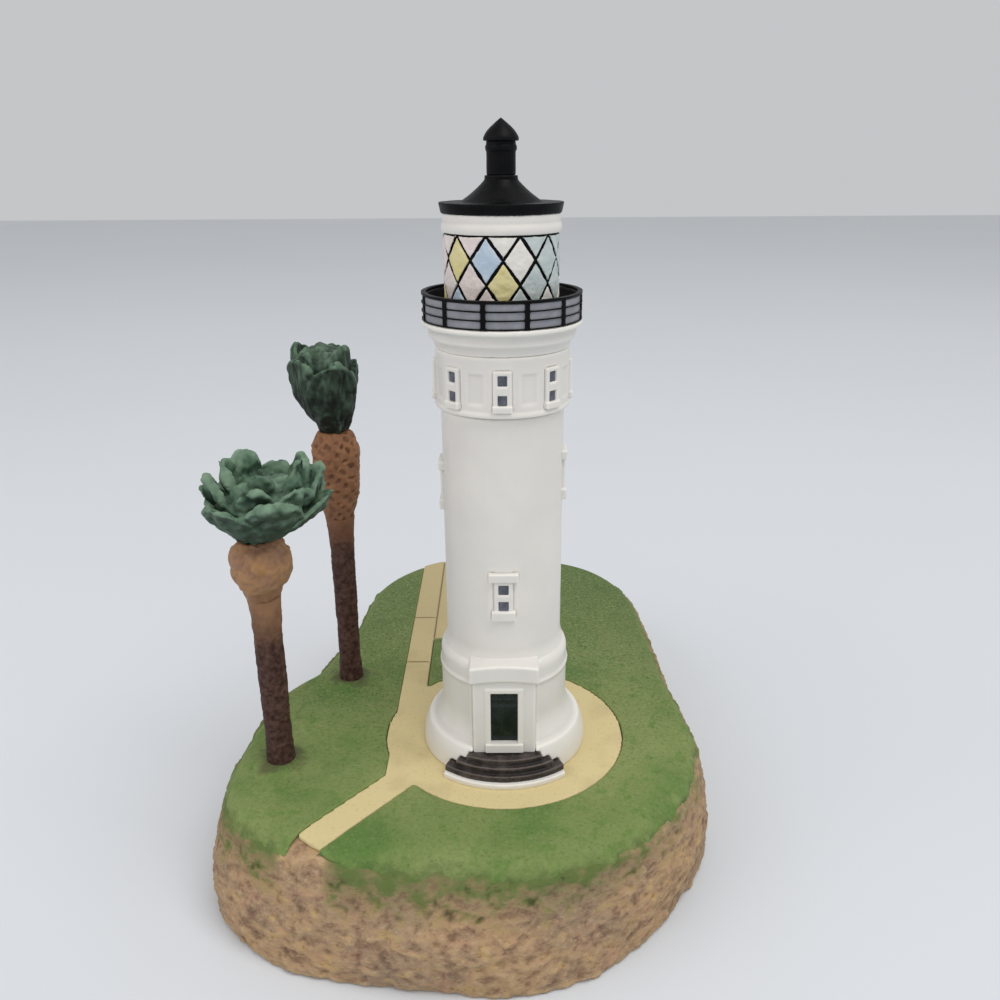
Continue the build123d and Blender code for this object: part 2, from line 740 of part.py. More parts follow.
def lantern_panes(colour):
    """All panes of one colour, cut to the lantern's curve and to the height between deck and cornice."""
    pitch = 360 / lattice_columns
    across = pane_half_width * pane_shrink
    upward = lattice_rise * pane_shrink
    with BuildPart() as panes:
        for row, letters in enumerate(pane_rows):
            height = lantern_top - row * lattice_rise
            for column in range(lattice_columns):
                if letters[column] == colour:
                    bearing = lattice_bearing + (column + row % 2 / 2) * pitch
                    with BuildSketch(facing(bearing, core_radius / 2, height)):
                        with BuildLine():
                            Polyline((across, 0), (0, upward), (-across, 0), (0, -upward), close=True)
                        make_face()
        extrude(amount=core_radius)
        with BuildSketch(Plane.XY.offset(deck_top + bar_width / 2)):
            Circle(lantern_radius)
            Circle(core_radius, mode=Mode.SUBTRACT)
        extrude(amount=lantern_height - bar_width, mode=Mode.INTERSECT)
    return panes


lantern_panes_white = lantern_panes("W")
lantern_panes_pink = lantern_panes("P")
lantern_panes_yellow = lantern_panes("Y")
lantern_panes_blue = lantern_panes("B")
lantern_panes_grey = lantern_panes("G")

# Moulded cornice ring
with BuildPart() as lantern_cornice:
    with BuildSketch(Plane.XZ):
        with BuildLine():
            bore = core_spigot_radius + glue_gap
            waist_height = lantern_top + cornice_bulge_height
            ThreePointArc(
                (lantern_radius, lantern_top),
                (lantern_radius + cornice_swell, lantern_top + cornice_bulge_height / 2),
                (lantern_radius - cornice_swell, waist_height),
            )
            Polyline(
                (lantern_radius - cornice_swell, waist_height), (lantern_radius, waist_height),
                (lantern_radius, roof_base), (bore, roof_base), (bore, lantern_top),
                (lantern_radius, lantern_top),
            )
        make_face()
    revolve(axis=Axis.Z)

# Roof plate with its hollow-sided cone and collar
with BuildPart() as roof_cone:
    with BuildSketch(Plane.XZ):
        with BuildLine():
            plate_radius = lantern_radius + plate_reach
            collar_radius = stack_radius + collar_step
            cone_top = plate_top + cone_height
            Polyline(
                (0, roof_base), (plate_radius - plate_flare, roof_base), (plate_radius, plate_top),
                (cone_radius, plate_top),
            )
            TangentArc((collar_radius, cone_top), (cone_radius, plate_top), tangent=(cone_lean, -1))
            Polyline(
                (collar_radius, cone_top), (collar_radius, stack_base), (0, stack_base), (0, roof_base),
            )
        make_face()
    revolve(axis=Axis.Z)
    with BuildSketch(Plane.XY.offset(roof_base)):
        Circle(core_spigot_radius + glue_gap)
    extrude(amount=roof_spigot_length + glue_gap, mode=Mode.SUBTRACT)
    with BuildSketch(Plane.XY.offset(stack_base)):
        Circle(stack_spigot_radius + glue_gap)
    extrude(amount=-stack_spigot_length - glue_gap, mode=Mode.SUBTRACT)

# Vent stack with a collar under its cap
with BuildPart() as vent_stack:
    with BuildSketch(Plane.XY.offset(stack_base)):
        Circle(stack_radius)
    extrude(amount=stack_height)
    with BuildSketch(Plane.XY.offset(cap_base - 2 * collar_height)):
        Circle(stack_radius + collar_step / 2)
    extrude(amount=collar_height)
    with BuildSketch(Plane.XY.offset(stack_base - stack_spigot_length)):
        Circle(stack_spigot_radius)
    extrude(amount=stack_spigot_length + stack_height + cap_spigot_length)

with BuildPart() as vent_cap:
    with BuildSketch(Plane.XZ):
        with BuildLine():
            cap_radius = stack_radius + cap_overhang
            brim_top = cap_base + cap_brim
            Polyline((0, cap_base), (cap_radius, cap_base), (cap_radius, brim_top))
            cap_tip = (0, cap_base + cap_height)
            Spline((cap_radius, brim_top), cap_tip, tangents=[(-cap_lean, 1), (-tip_lean, 1)])
            Line(cap_tip, (0, cap_base))
        make_face()
    revolve(axis=Axis.Z)
    with BuildSketch(Plane.XY.offset(cap_base)):
        Circle(stack_spigot_radius + glue_gap)
    extrude(amount=cap_spigot_length + glue_gap, mode=Mode.SUBTRACT)


# Palms: peg, trunk, swollen boot and leafy crown, threaded on a wire
def wire_bore(bottom, top, grow):
    """Bore for the palm's wire between two heights over the turf, at the palm's own plane."""
    with Locations((0, 0, bottom)):
        Cylinder(
            wire_radius + grow, top - bottom,
            align=(Align.CENTER, Align.CENTER, Align.MIN), mode=Mode.SUBTRACT,
        )


def palm_trunk(radius, spread, height):
    """Trunk with its peg below and a spigot for the boot above, standing on its own origin."""
    with BuildPart() as trunk:
        with BuildSketch(Plane.XZ):
            with BuildLine():
                Polyline(
                    (0, -palm_peg_length), (palm_peg_radius, -palm_peg_length), (palm_peg_radius, 0),
                    (radius + spread, 0),
                )
                Spline(
                    (radius + spread, 0), (radius, height / 2), (radius + 2 * spread, height),
                    tangents=[(-trunk_lean, 1), (trunk_lean, 1)],
                )
                Polyline(
                    (radius + 2 * spread, height), (palm_peg_radius, height),
                    (palm_peg_radius, height + palm_spigot_length), (0, height + palm_spigot_length),
                    (0, -palm_peg_length),
                )
            make_face()
        revolve(axis=Axis.Z)
        wire_bore(height - wire_grip, height + palm_spigot_length, seam_gap)
    return trunk


def palm_boot(base_radius, belly_radius, neck_radius, belly_height, bottom, height):
    """Swollen boot of old leaf bases over the trunk's spigot."""
    with BuildPart() as boot:
        with BuildSketch(Plane.XZ):
            with BuildLine():
                top = bottom + height
                belly = (belly_radius, bottom + belly_height)
                Line((0, bottom), (base_radius, bottom))
                Spline(
                    (base_radius, bottom), belly, (neck_radius, top),
                    tangents=[(boot_swell, 1), (-boot_draw, 1)],
                )
                Polyline((neck_radius, top), (0, top), (0, bottom))
            make_face()
        revolve(axis=Axis.Z)
        with Locations((0, 0, bottom)):
            Cylinder(
                palm_peg_radius + glue_gap, palm_spigot_length + glue_gap,
                align=(Align.CENTER, Align.CENTER, Align.MIN), mode=Mode.SUBTRACT,
            )
        wire_bore(bottom, top, seam_gap)
    return boot


def palm_wire(trunk_height, boot_height):
    """Wire from the trunk through the boot into the crown."""
    with BuildPart() as wire:
        with Locations((0, 0, trunk_height - wire_grip)):
            Cylinder(
                wire_radius, boot_height + 2 * wire_grip, align=(Align.CENTER, Align.CENTER, Align.MIN),
            )
    return wire


def crown_profile(neck_radius, rim_radius, rim_height, top_height, bottom):
    """Half section of a crown's round body, from its neck out to the rim and over to the top."""
    with BuildSketch(Plane.XZ) as profile:
        with BuildLine():
            Line((0, bottom), (neck_radius, bottom))
            Spline(
                (neck_radius, bottom), (rim_radius, bottom + rim_height), (0, bottom + top_height),
                tangents=[(1, 1), (-1, 0)],
            )
            Line((0, bottom + top_height), (0, bottom))
        make_face()
    return profile.sketch


front_crown_base = front_trunk_height + front_boot_height
rear_crown_base = rear_trunk_height + rear_boot_height
front_palm_trunk = palm_trunk(front_trunk_radius, front_trunk_spread, front_trunk_height)
rear_palm_trunk = palm_trunk(rear_trunk_radius, rear_trunk_spread, rear_trunk_height)
front_palm_boot = palm_boot(
    front_trunk_radius + 2 * front_trunk_spread, front_boot_radius, front_boot_neck, front_belly_height,
    front_trunk_height, front_boot_height,
)
rear_palm_boot = palm_boot(
    rear_trunk_radius + 2 * rear_trunk_spread, rear_boot_radius, rear_boot_neck, rear_belly_height,
    rear_trunk_height, rear_boot_height,
)
front_palm_wire = palm_wire(front_trunk_height, front_boot_height)
rear_palm_wire = palm_wire(rear_trunk_height, rear_boot_height)


def leaf_head(length, width):
    """One folded leaf as a long rounded body about the upright axis."""
    with BuildPart() as leaf:
        with BuildSketch(Plane.XZ):
            Ellipse(width / 2, length / 2)
            Rectangle(width, length, align=(Align.MIN, Align.CENTER), mode=Mode.INTERSECT)
        revolve(axis=Axis.Z)
    return leaf.part


def leaf_ring(leaf, length, width, count, tilt, reach, top, shift, start):
    """A ring of leaves leaning outward, whose heads reach out to a radius and up to a height."""
    lean = radians(tilt)
    out_extent = hypot(length / 2 * sin(lean), width / 2 * cos(lean))
    up_extent = hypot(length / 2 * cos(lean), width / 2 * sin(lean))
    with Locations((shift, 0, top - up_extent)):
        with PolarLocations(reach - out_extent, count, start_angle=start):
            add(leaf, rotation=(0, tilt, 0))


# Wide crown of the front palm: a bowl of leaning leaves round a few steeper ones
front_leaf = leaf_head(front_leaf_length, front_leaf_width)
with BuildPart() as front_palm_crown:
    bowl = crown_profile(
        front_boot_neck, front_bowl_radius, front_bowl_height, front_bowl_top, front_crown_base,
    )
    revolve(bowl, axis=Axis.Z)
    leaf_ring(
        front_leaf, front_leaf_length, front_leaf_width, front_leaf_count, front_leaf_tilt,
        front_crown_radius, front_crown_base + front_leaf_top, front_crown_shift, front_leaf_start,
    )
    leaf_ring(
        front_leaf, front_leaf_length, front_leaf_width, front_heart_count, front_heart_tilt,
        front_heart_reach, front_crown_base + front_crown_height, front_crown_shift, front_heart_start,
    )
    wire_bore(front_crown_base, front_crown_base + wire_grip, seam_gap)

# Upright crown of the rear palm
rear_leaf = leaf_head(rear_leaf_length, rear_leaf_width)
with BuildPart() as rear_palm_crown:
    bowl = crown_profile(rear_bowl_neck, rear_bowl_radius, rear_bowl_height, rear_bowl_top, rear_crown_base)
    revolve(bowl, axis=Axis.Z)
    leaf_ring(
        rear_leaf, rear_leaf_length, rear_leaf_width, rear_leaf_count, rear_leaf_tilt,
        rear_crown_radius, rear_crown_base + rear_leaf_top, rear_crown_shift, rear_leaf_start,
    )
    leaf_ring(
        rear_leaf, rear_leaf_length, rear_leaf_width, rear_heart_count, rear_heart_tilt,
        rear_heart_reach, rear_crown_base + rear_crown_height, rear_crown_shift, rear_heart_start,
    )
    wire_bore(rear_crown_base, rear_crown_base + wire_grip, seam_gap)


# Every piece under its own name
fixed_pieces = {
    "felt_pad": felt_pad, "base_rock": base_rock, "lawn": lawn, "path_paving": path_paving,
    "tower_plinth": tower_plinth, "tower_shaft": tower_shaft, "step_slab": step_slab,
    "entry_steps": entry_steps, "door_portal": door_portal, "door_leaf": door_leaf, "door_sill": door_sill,
    "shaft_window_frames": shaft_window_frames, "shaft_window_panes": shaft_window_panes,
    "watch_room": watch_room, "watch_window_frames": watch_window_frames,
    "watch_window_panes": watch_window_panes, "gallery_deck": gallery_deck,
    "gallery_parapet": gallery_parapet, "gallery_railing": gallery_railing, "lantern_core": lantern_core,
    "lantern_panes_white": lantern_panes_white, "lantern_panes_pink": lantern_panes_pink,
    "lantern_panes_yellow": lantern_panes_yellow, "lantern_panes_blue": lantern_panes_blue,
    "lantern_panes_grey": lantern_panes_grey, "lantern_cornice": lantern_cornice, "roof_cone": roof_cone,
    "vent_stack": vent_stack, "vent_cap": vent_cap,
}
front_palm_pieces = {
    "front_palm_trunk": front_palm_trunk, "front_palm_boot": front_palm_boot,
    "front_palm_crown": front_palm_crown, "front_palm_wire": front_palm_wire,
}
rear_palm_pieces = {
    "rear_palm_trunk": rear_palm_trunk, "rear_palm_boot": rear_palm_boot,
    "rear_palm_crown": rear_palm_crown, "rear_palm_wire": rear_palm_wire,
}


def write_pieces(pieces, foot):
    """Labels each piece, stands it at its foot and writes it to its own file."""
    for name, piece in pieces.items():
        solid = Location(foot) * piece.part
        solid.label = name
        export_step(solid, f"parts/{name}.step")


write_pieces(fixed_pieces, (0, 0, 0))
write_pieces(front_palm_pieces, (front_palm.X, front_palm.Y, turf_top))
write_pieces(rear_palm_pieces, (rear_palm.X, rear_palm.Y, turf_top))
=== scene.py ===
import math

import bmesh
import bpy
import numpy as np
from mathutils import Matrix, Vector


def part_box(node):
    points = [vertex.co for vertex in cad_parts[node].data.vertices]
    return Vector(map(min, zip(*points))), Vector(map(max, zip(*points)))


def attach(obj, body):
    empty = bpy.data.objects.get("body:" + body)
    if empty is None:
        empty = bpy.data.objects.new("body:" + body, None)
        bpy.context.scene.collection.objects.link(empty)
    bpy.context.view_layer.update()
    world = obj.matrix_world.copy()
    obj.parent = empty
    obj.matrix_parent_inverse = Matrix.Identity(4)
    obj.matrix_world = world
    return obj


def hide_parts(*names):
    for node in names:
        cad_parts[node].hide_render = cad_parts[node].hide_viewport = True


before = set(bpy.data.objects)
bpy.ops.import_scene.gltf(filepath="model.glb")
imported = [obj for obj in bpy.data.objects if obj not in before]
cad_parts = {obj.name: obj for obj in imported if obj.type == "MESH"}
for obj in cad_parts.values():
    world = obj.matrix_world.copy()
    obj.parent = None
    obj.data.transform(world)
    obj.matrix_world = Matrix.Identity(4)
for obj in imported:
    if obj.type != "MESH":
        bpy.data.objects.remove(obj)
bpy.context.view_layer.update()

# A hand-painted cast lighthouse on a rock base. Pieces are shaped in millimetres in the frame of the solids
# and finished in metres. The door faces -Y and the tower's axis is the origin.
MM = 0.001

# Camera fitted to the photograph
camera_distance = 188.0         # in front of the tower's axis
camera_height = 158.0
camera_pitch = 20.5             # below level, in degrees
camera_roll = -0.33
camera_clip = 10.0              # nothing nearer than this is drawn
focal_pixels = 915.0
image_pixels = 1000.0
axis_pixel = 503.0              # column of the tower's axis at the picture's middle
sensor_width = 36.0

camera_data = bpy.data.cameras.new("camera")
camera_data.sensor_width = sensor_width
camera_data.lens = sensor_width * focal_pixels / image_pixels
camera_data.shift_x = (image_pixels / 2 - axis_pixel) / image_pixels
camera_data.clip_start = camera_clip * MM
camera = bpy.data.objects.new("camera", camera_data)
bpy.context.scene.collection.objects.link(camera)
camera.matrix_world = (
    Matrix.Translation(Vector((0, -camera_distance, camera_height)) * MM)
    @ Matrix.Rotation(math.radians(90 - camera_pitch), 4, "X")
    @ Matrix.Rotation(math.radians(camera_roll), 4, "Z")
)
bpy.context.scene.camera = camera
bpy.context.scene.view_settings.view_transform = "Standard"


# Small helpers for colours and nodes
def linear(hex_colour):
    """An sRGB hex colour as linear red, green, blue and a full alpha."""
    shares = [int(hex_colour[start:start + 2], 16) / 255 for start in (0, 2, 4)]
    return [s / 12.92 if s <= 0.04045 else ((s + 0.055) / 1.055) ** 2.4 for s in shares] + [1.0]


def add(tree, kind, values=None, links=None, **settings):
    """One node with its settings, its fixed inputs and what feeds its other inputs; gives its outputs."""
    node = tree.nodes.new(kind)
    for name, value in settings.items():
        setattr(node, name, value)
    for socket, value in (values or {}).items():
        node.inputs[socket].default_value = value
    for socket, source in (links or {}).items():
        tree.links.new(source, node.inputs[socket])
    return node.outputs


def per(millimetres):
    """Texture scale for a pattern of this size on Object coordinates, which are in metres."""
    return 1 / (millimetres * MM)


# Kinds of node that are used often, and the sockets of a colour mix
MATH = "ShaderNodeMath"
VECTOR = "ShaderNodeVectorMath"
NOISE = "ShaderNodeTexNoise"
RANGE = "ShaderNodeMapRange"    # takes a value at 0 from the span of 1 and 2 to the span of 3 and 4
MIX_SHARE, MIX_UNDER, MIX_OVER, MIX_OUT = 0, 6, 7, 2

# World: even soft light, with a plain pale backdrop where the camera or a reflection sees it
backdrop_colour = "C4C6C8"
sky_strength = 0.62
world = bpy.data.worlds.new("studio")
world.use_nodes = True
sky = world.node_tree
sky.nodes.clear()
ray = add(sky, "ShaderNodeLightPath")
seen = add(sky, MATH, links={0: ray["Is Camera Ray"], 1: ray["Is Glossy Ray"]}, operation="MAXIMUM")
seen = add(sky, MATH, links={0: seen[0], 1: ray["Is Transmission Ray"]}, operation="MAXIMUM")
soft = add(sky, "ShaderNodeBackground", {"Color": linear("FFFDFA"), "Strength": sky_strength})
pale = add(sky, "ShaderNodeBackground", {"Color": linear(backdrop_colour), "Strength": 1.0})
choice = add(sky, "ShaderNodeMixShader", links={0: seen[0], 1: soft[0], 2: pale[0]})
add(sky, "ShaderNodeOutputWorld", links={"Surface": choice[0]})
bpy.context.scene.world = world

# A large key lamp high on the right and a weak fill from the left; both far off, so that the floor is even
lamp_size = 900.0
lamp_aim = (0, 0, 70)
key_place = (420, -420, 1300)
key_power = 9.0
fill_place = (-900, -420, 620)
fill_power = 2.6


def lamp(name, place, power, colour):
    """A square soft lamp that looks at the tower; places are in millimetres."""
    data = bpy.data.lights.new(name, "AREA")
    data.size = lamp_size * MM
    data.energy = power
    data.color = linear(colour)[:3]
    obj = bpy.data.objects.new(name, data)
    bpy.context.scene.collection.objects.link(obj)
    obj.location = Vector(place) * MM
    obj.rotation_euler = (Vector(lamp_aim) - Vector(place)).to_track_quat("-Z", "Y").to_euler()


lamp("key", key_place, key_power, "FFFCF8")
lamp("fill", fill_place, fill_power, "FFF6F4")


# Paints and finishes
def new_material(name):
    """An empty node material, and the Object coordinates that its patterns read."""
    material = bpy.data.materials.new(name)
    material.use_nodes = True
    tree = material.node_tree
    tree.nodes.clear()
    return material, tree, add(tree, "ShaderNodeTexCoord")["Object"]


def surface(tree, colour, roughness, height, depth, values):
    """Closes a material: a principled surface with its colour, its roughness and a bump of a depth in mm."""
    bump = add(tree, "ShaderNodeBump", {"Strength": 1.0, "Distance": depth * MM}, {"Height": height})[0]
    shader = add(tree, "ShaderNodeBsdfPrincipled", values,
                 {"Base Color": colour, "Roughness": roughness, "Normal": bump})[0]
    add(tree, "ShaderNodeOutputMaterial", links={"Surface": shader})


def layered(tree, base, layers):
    """Coats of paint one over the other. Each layer is a colour, what steers it, the two values of that
    between which it comes in, and the most of the surface that it takes."""
    colour = None
    for hex_colour, steer, start, full, most in layers:
        links = {MIX_SHARE: add(tree, RANGE, {1: start, 2: full, 4: most}, {0: steer})[0]}
        if colour:
            links[MIX_UNDER] = colour
        tones = {MIX_UNDER: linear(base), MIX_OVER: linear(hex_colour)}
        colour = add(tree, "ShaderNodeMix", tones, links, data_type="RGBA")[MIX_OUT]
    return colour


def painted(name, base, shade, light, *, mottle, mottled, rough, grain=0.6, grain_depth=0.03, hollow_shade=0.6,
            ridge_highlight=0.3, specular=0.4, stretch=1.0, over=None):
    """Brushed acrylic over cast resin. The brushwork leaves soft mottling, the hollows take the shade colour
    as painted shade, and the ridges take more of the light colour as a painted highlight. Sizes are in
    millimetres; stretch draws the marks out upright, and over is a last coat with the share of the surface
    that it takes."""
    material, tree, place = new_material(name)
    drawn = add(tree, "ShaderNodeMapping", {"Scale": (1.0, 1.0, 1 / stretch)}, {"Vector": place})[0]
    patches = add(tree, NOISE, {"Scale": per(mottle), "Detail": 4.0, "Roughness": 0.6}, {"Vector": drawn})[0]
    fine = add(tree, NOISE, {"Scale": per(grain), "Detail": 3.0}, {"Vector": drawn})[0]
    hollow = add(tree, "ShaderNodeAttribute", attribute_name="hollow")["Fac"]
    # The second coat is painted shade in the hollows, the third a painted highlight on the ridges.
    layers = [
        (light, patches, 0.42, 0.7, mottled),
        (shade, hollow, 0.0, 1.0, hollow_shade),
        (light, hollow, 0.0, -1.0, ridge_highlight),
    ]
    if over:
        coat, share = over
        layers.append((coat, share(tree, place), 0.0, 1.0, 1.0))
    gloss = add(tree, RANGE, {1: 0.3, 2: 0.7, 3: rough[0], 4: rough[1]}, {0: patches})[0]
    surface(tree, layered(tree, base, layers), gloss, fine, grain_depth, {"Specular IOR Level": specular})
    return material


def above(low, high):
    """Share of a coat that comes in unevenly between two heights in millimetres, upward or, with the larger
    height first, downward."""
    def share(tree, place):
        height = add(tree, "ShaderNodeSeparateXYZ", links={0: place})[2]
        patchy = {"Scale": per(fade_patch), "Detail": 3.0}
        uneven = add(tree, NOISE, patchy, {"Vector": place})[0]
        uneven = add(tree, MATH, {1: (high - low) * MM}, {0: uneven}, operation="MULTIPLY")[0]
        level = add(tree, MATH, links={0: height, 1: uneven}, operation="ADD")[0]
        middle = (high - low) / 2
        span = {1: (low + middle) * MM, 2: (high + middle) * MM}
        return add(tree, RANGE, span, {0: level})[0]
    return share


def within(radius):
    """Share of a coat that covers what lies inside a radius about the tower's axis."""
    def share(tree, place):
        plan = add(tree, VECTOR, {1: (1.0, 1.0, 0.0)}, {0: place}, operation="MULTIPLY")[0]
        reach = add(tree, VECTOR, links={0: plan}, operation="LENGTH")["Value"]
        return add(tree, MATH, {1: radius * MM}, {0: reach}, operation="LESS_THAN")[0]
    return share


def underside_shade(level, steep, most):
    """Share of a painted shade that darkens what looks downward, from one steepness of the surface to
    another.
    """
    def share(tree, _):
        facing = add(tree, "ShaderNodeNewGeometry")["Normal"]
        upward = add(tree, "ShaderNodeSeparateXYZ", links={0: facing})[2]
        return add(tree, RANGE, {1: level, 2: steep, 4: most}, {0: upward})[0]
    return share


# Where one coat ends and another begins, in millimetres
parapet_middle = 15.6           # radius between the parapet's two sides
fade_patch = 2.5                # size of the patches in which two coats run into each other
front_bark_fade = (58, 69)      # heights over which bark and boot run into the same tan
front_boot_fade = (79, 70)
rear_bark_fade = (66, 74)
rear_boot_fade = (83, 74)

# Every paint below takes its shade colour in its hollows as painted shade and its light colour on its ridges
# as a painted highlight.
# Satin off-white acrylic: a little yellow where it is thick, with grey-brown painted shade in the mouldings
# and a paler painted highlight on the edges
white_paint = painted("white_satin_acrylic", "DEDCD8", "A69F95", "EFEDE7", mottle=14, mottled=0.3, grain=0.5,
                      grain_depth=0.012, hollow_shade=0.25, ridge_highlight=0.8, rough=(0.3, 0.45), specular=0.5)
# Black acrylic, with a faint grey painted highlight on the edges
black_paint = painted("black_satin_acrylic", "060607", "020203", "1C1D20", mottle=4, mottled=0.25, grain=0.5,
                      grain_depth=0.03, hollow_shade=0.8, ridge_highlight=0.5, rough=(0.35, 0.5), specular=0.09)
# Dark brown acrylic, lighter on the treads' edges as a painted highlight and darker in the corners as
# painted shade
step_paint = painted("dark_brown_acrylic", "2A2423", "0E0B0B", "6A615D", mottle=3, mottled=0.45, grain=0.5,
                     grain_depth=0.04, hollow_shade=0.9, ridge_highlight=0.7, rough=(0.45, 0.6), specular=0.3)
# Green-black gloss paint
door_paint = painted("green_black_gloss", "081410", "030706", "2E3B38", mottle=2.5, mottled=0.3, grain=0.4,
                     grain_depth=0.015, hollow_shade=0.6, ridge_highlight=0.6, rough=(0.2, 0.32), specular=0.4)
# Slate blue paint, thin and uneven
window_paint = painted("slate_blue_acrylic", "4D505C", "2E303B", "7C7F8E", mottle=1.6, mottled=0.6,
                       grain=0.4, grain_depth=0.015, rough=(0.35, 0.5))
# Blue-grey wash between the rails, black on the side towards the lantern
parapet_paint = painted("blue_grey_acrylic", "85888F", "4B4E57", "A3A5AE", mottle=3.5, mottled=0.6,
                        grain=0.5, grain_depth=0.02, rough=(0.4, 0.55),
                        over=("0A0A0C", within(parapet_middle)))
# Dark purple-brown bark with paler specks, which fades to tan under the boot
bark = {"base": "341F1A", "shade": "150B09", "light": "6C524A", "mottle": 1.4, "mottled": 0.5, "grain": 0.5,
        "grain_depth": 0.08, "hollow_shade": 1.0, "ridge_highlight": 0.7, "rough": (0.6, 0.8), "specular": 0.2}
front_bark_paint = painted("bark_brown_acrylic", over=("8D6B50", above(*front_bark_fade)), **bark)
rear_bark_paint = painted("dark_bark_brown_acrylic", over=("7A5640", above(*rear_bark_fade)), **bark)
# Smooth tan-pink boot, browner where it runs into the trunk
front_boot_paint = painted("tan_pink_acrylic", "93705A", "6A4836", "B58A55", mottle=6, mottled=0.9,
                           grain_depth=0.03, hollow_shade=0.9, ridge_highlight=0.6, rough=(0.5, 0.65), specular=0.3,
                           over=("8D6B50", above(*front_boot_fade)))
# Orange-tan boot whose pits are darkened with painted shade
rear_boot_paint = painted("orange_tan_acrylic", "7E573D", "4A2E1E", "AA7A56", mottle=4, mottled=0.6,
                          grain=0.5, grain_depth=0.05, hollow_shade=1.0, ridge_highlight=0.7, rough=(0.5, 0.7),
                          specular=0.3, over=("7A5640", above(*rear_boot_fade)))
# Blue-green leaf paint: nearly black in the folds and on the undersides as painted shade, pale on the ridges
# as a painted highlight, drawn out along the leaf
front_leaf_paint = painted("blue_green_acrylic", "4C6854", "0D1712", "86A18A", mottle=3, mottled=0.6,
                           grain=0.5, grain_depth=0.06, hollow_shade=1.0, ridge_highlight=0.7, rough=(0.5, 0.65),
                           specular=0.25, stretch=2.5, over=("16241C", underside_shade(0.05, -0.6, 0.8)))
rear_leaf_paint = painted("dark_blue_green_acrylic", "2B4032", "050907", "728C76", mottle=2.5, mottled=0.6,
                          grain=0.4, grain_depth=0.09, hollow_shade=1.0, ridge_highlight=0.9, rough=(0.5, 0.65),
                          specular=0.25, stretch=4.0, over=("080E0A", underside_shade(0.2, -0.4, 0.9)))
# Milky lantern panes, each colour streaked with a paler one
milky = {"mottle": 3, "mottled": 0.6, "rough": (0.25, 0.35)}
pane_paints = {
    "white": painted("milk_white_pane", "E2E0DB", "B8B2AA", "F0EEE8", **milky),
    "pink": painted("pinkish_white_pane", "DFD4D1", "B5A6A2", "EEE7E3", **milky),
    "yellow": painted("straw_yellow_pane", "D9CE92", "AFA06A", "E6E0B8", **milky),
    "blue": painted("light_blue_pane", "B4C6D8", "8A9AAC", "CFDAE4", **milky),
    "grey": painted("pale_grey_blue_pane", "B9C6C7", "8C9899", "D3DAD6", **milky),
}

# The green runs down over the rock's shoulder, most at the front, but not under the end of the spur
moss_edge = 21.8                # height of its lower edge at the sides, in millimetres
moss_fall = 1.2                 # how much lower it is at the front
moss_front = -45.0              # where the front is
moss_right = 4.0                # how much higher it is on the right, between the next two
right_from = 12.0
right_to = 42.0
moss_stray = 4.0                # how far the edge strays up and down
moss_fade = (-5.0, 3.0)         # brownish moss comes in between these heights about the edge
green_fade = (-1.0, 4.0)        # and green moss between these
spur_end = (-41.0, -40.0, 0.0)
spur_bare = (5.0, 8.0)          # bare rock round the end of the spur, from and to this distance


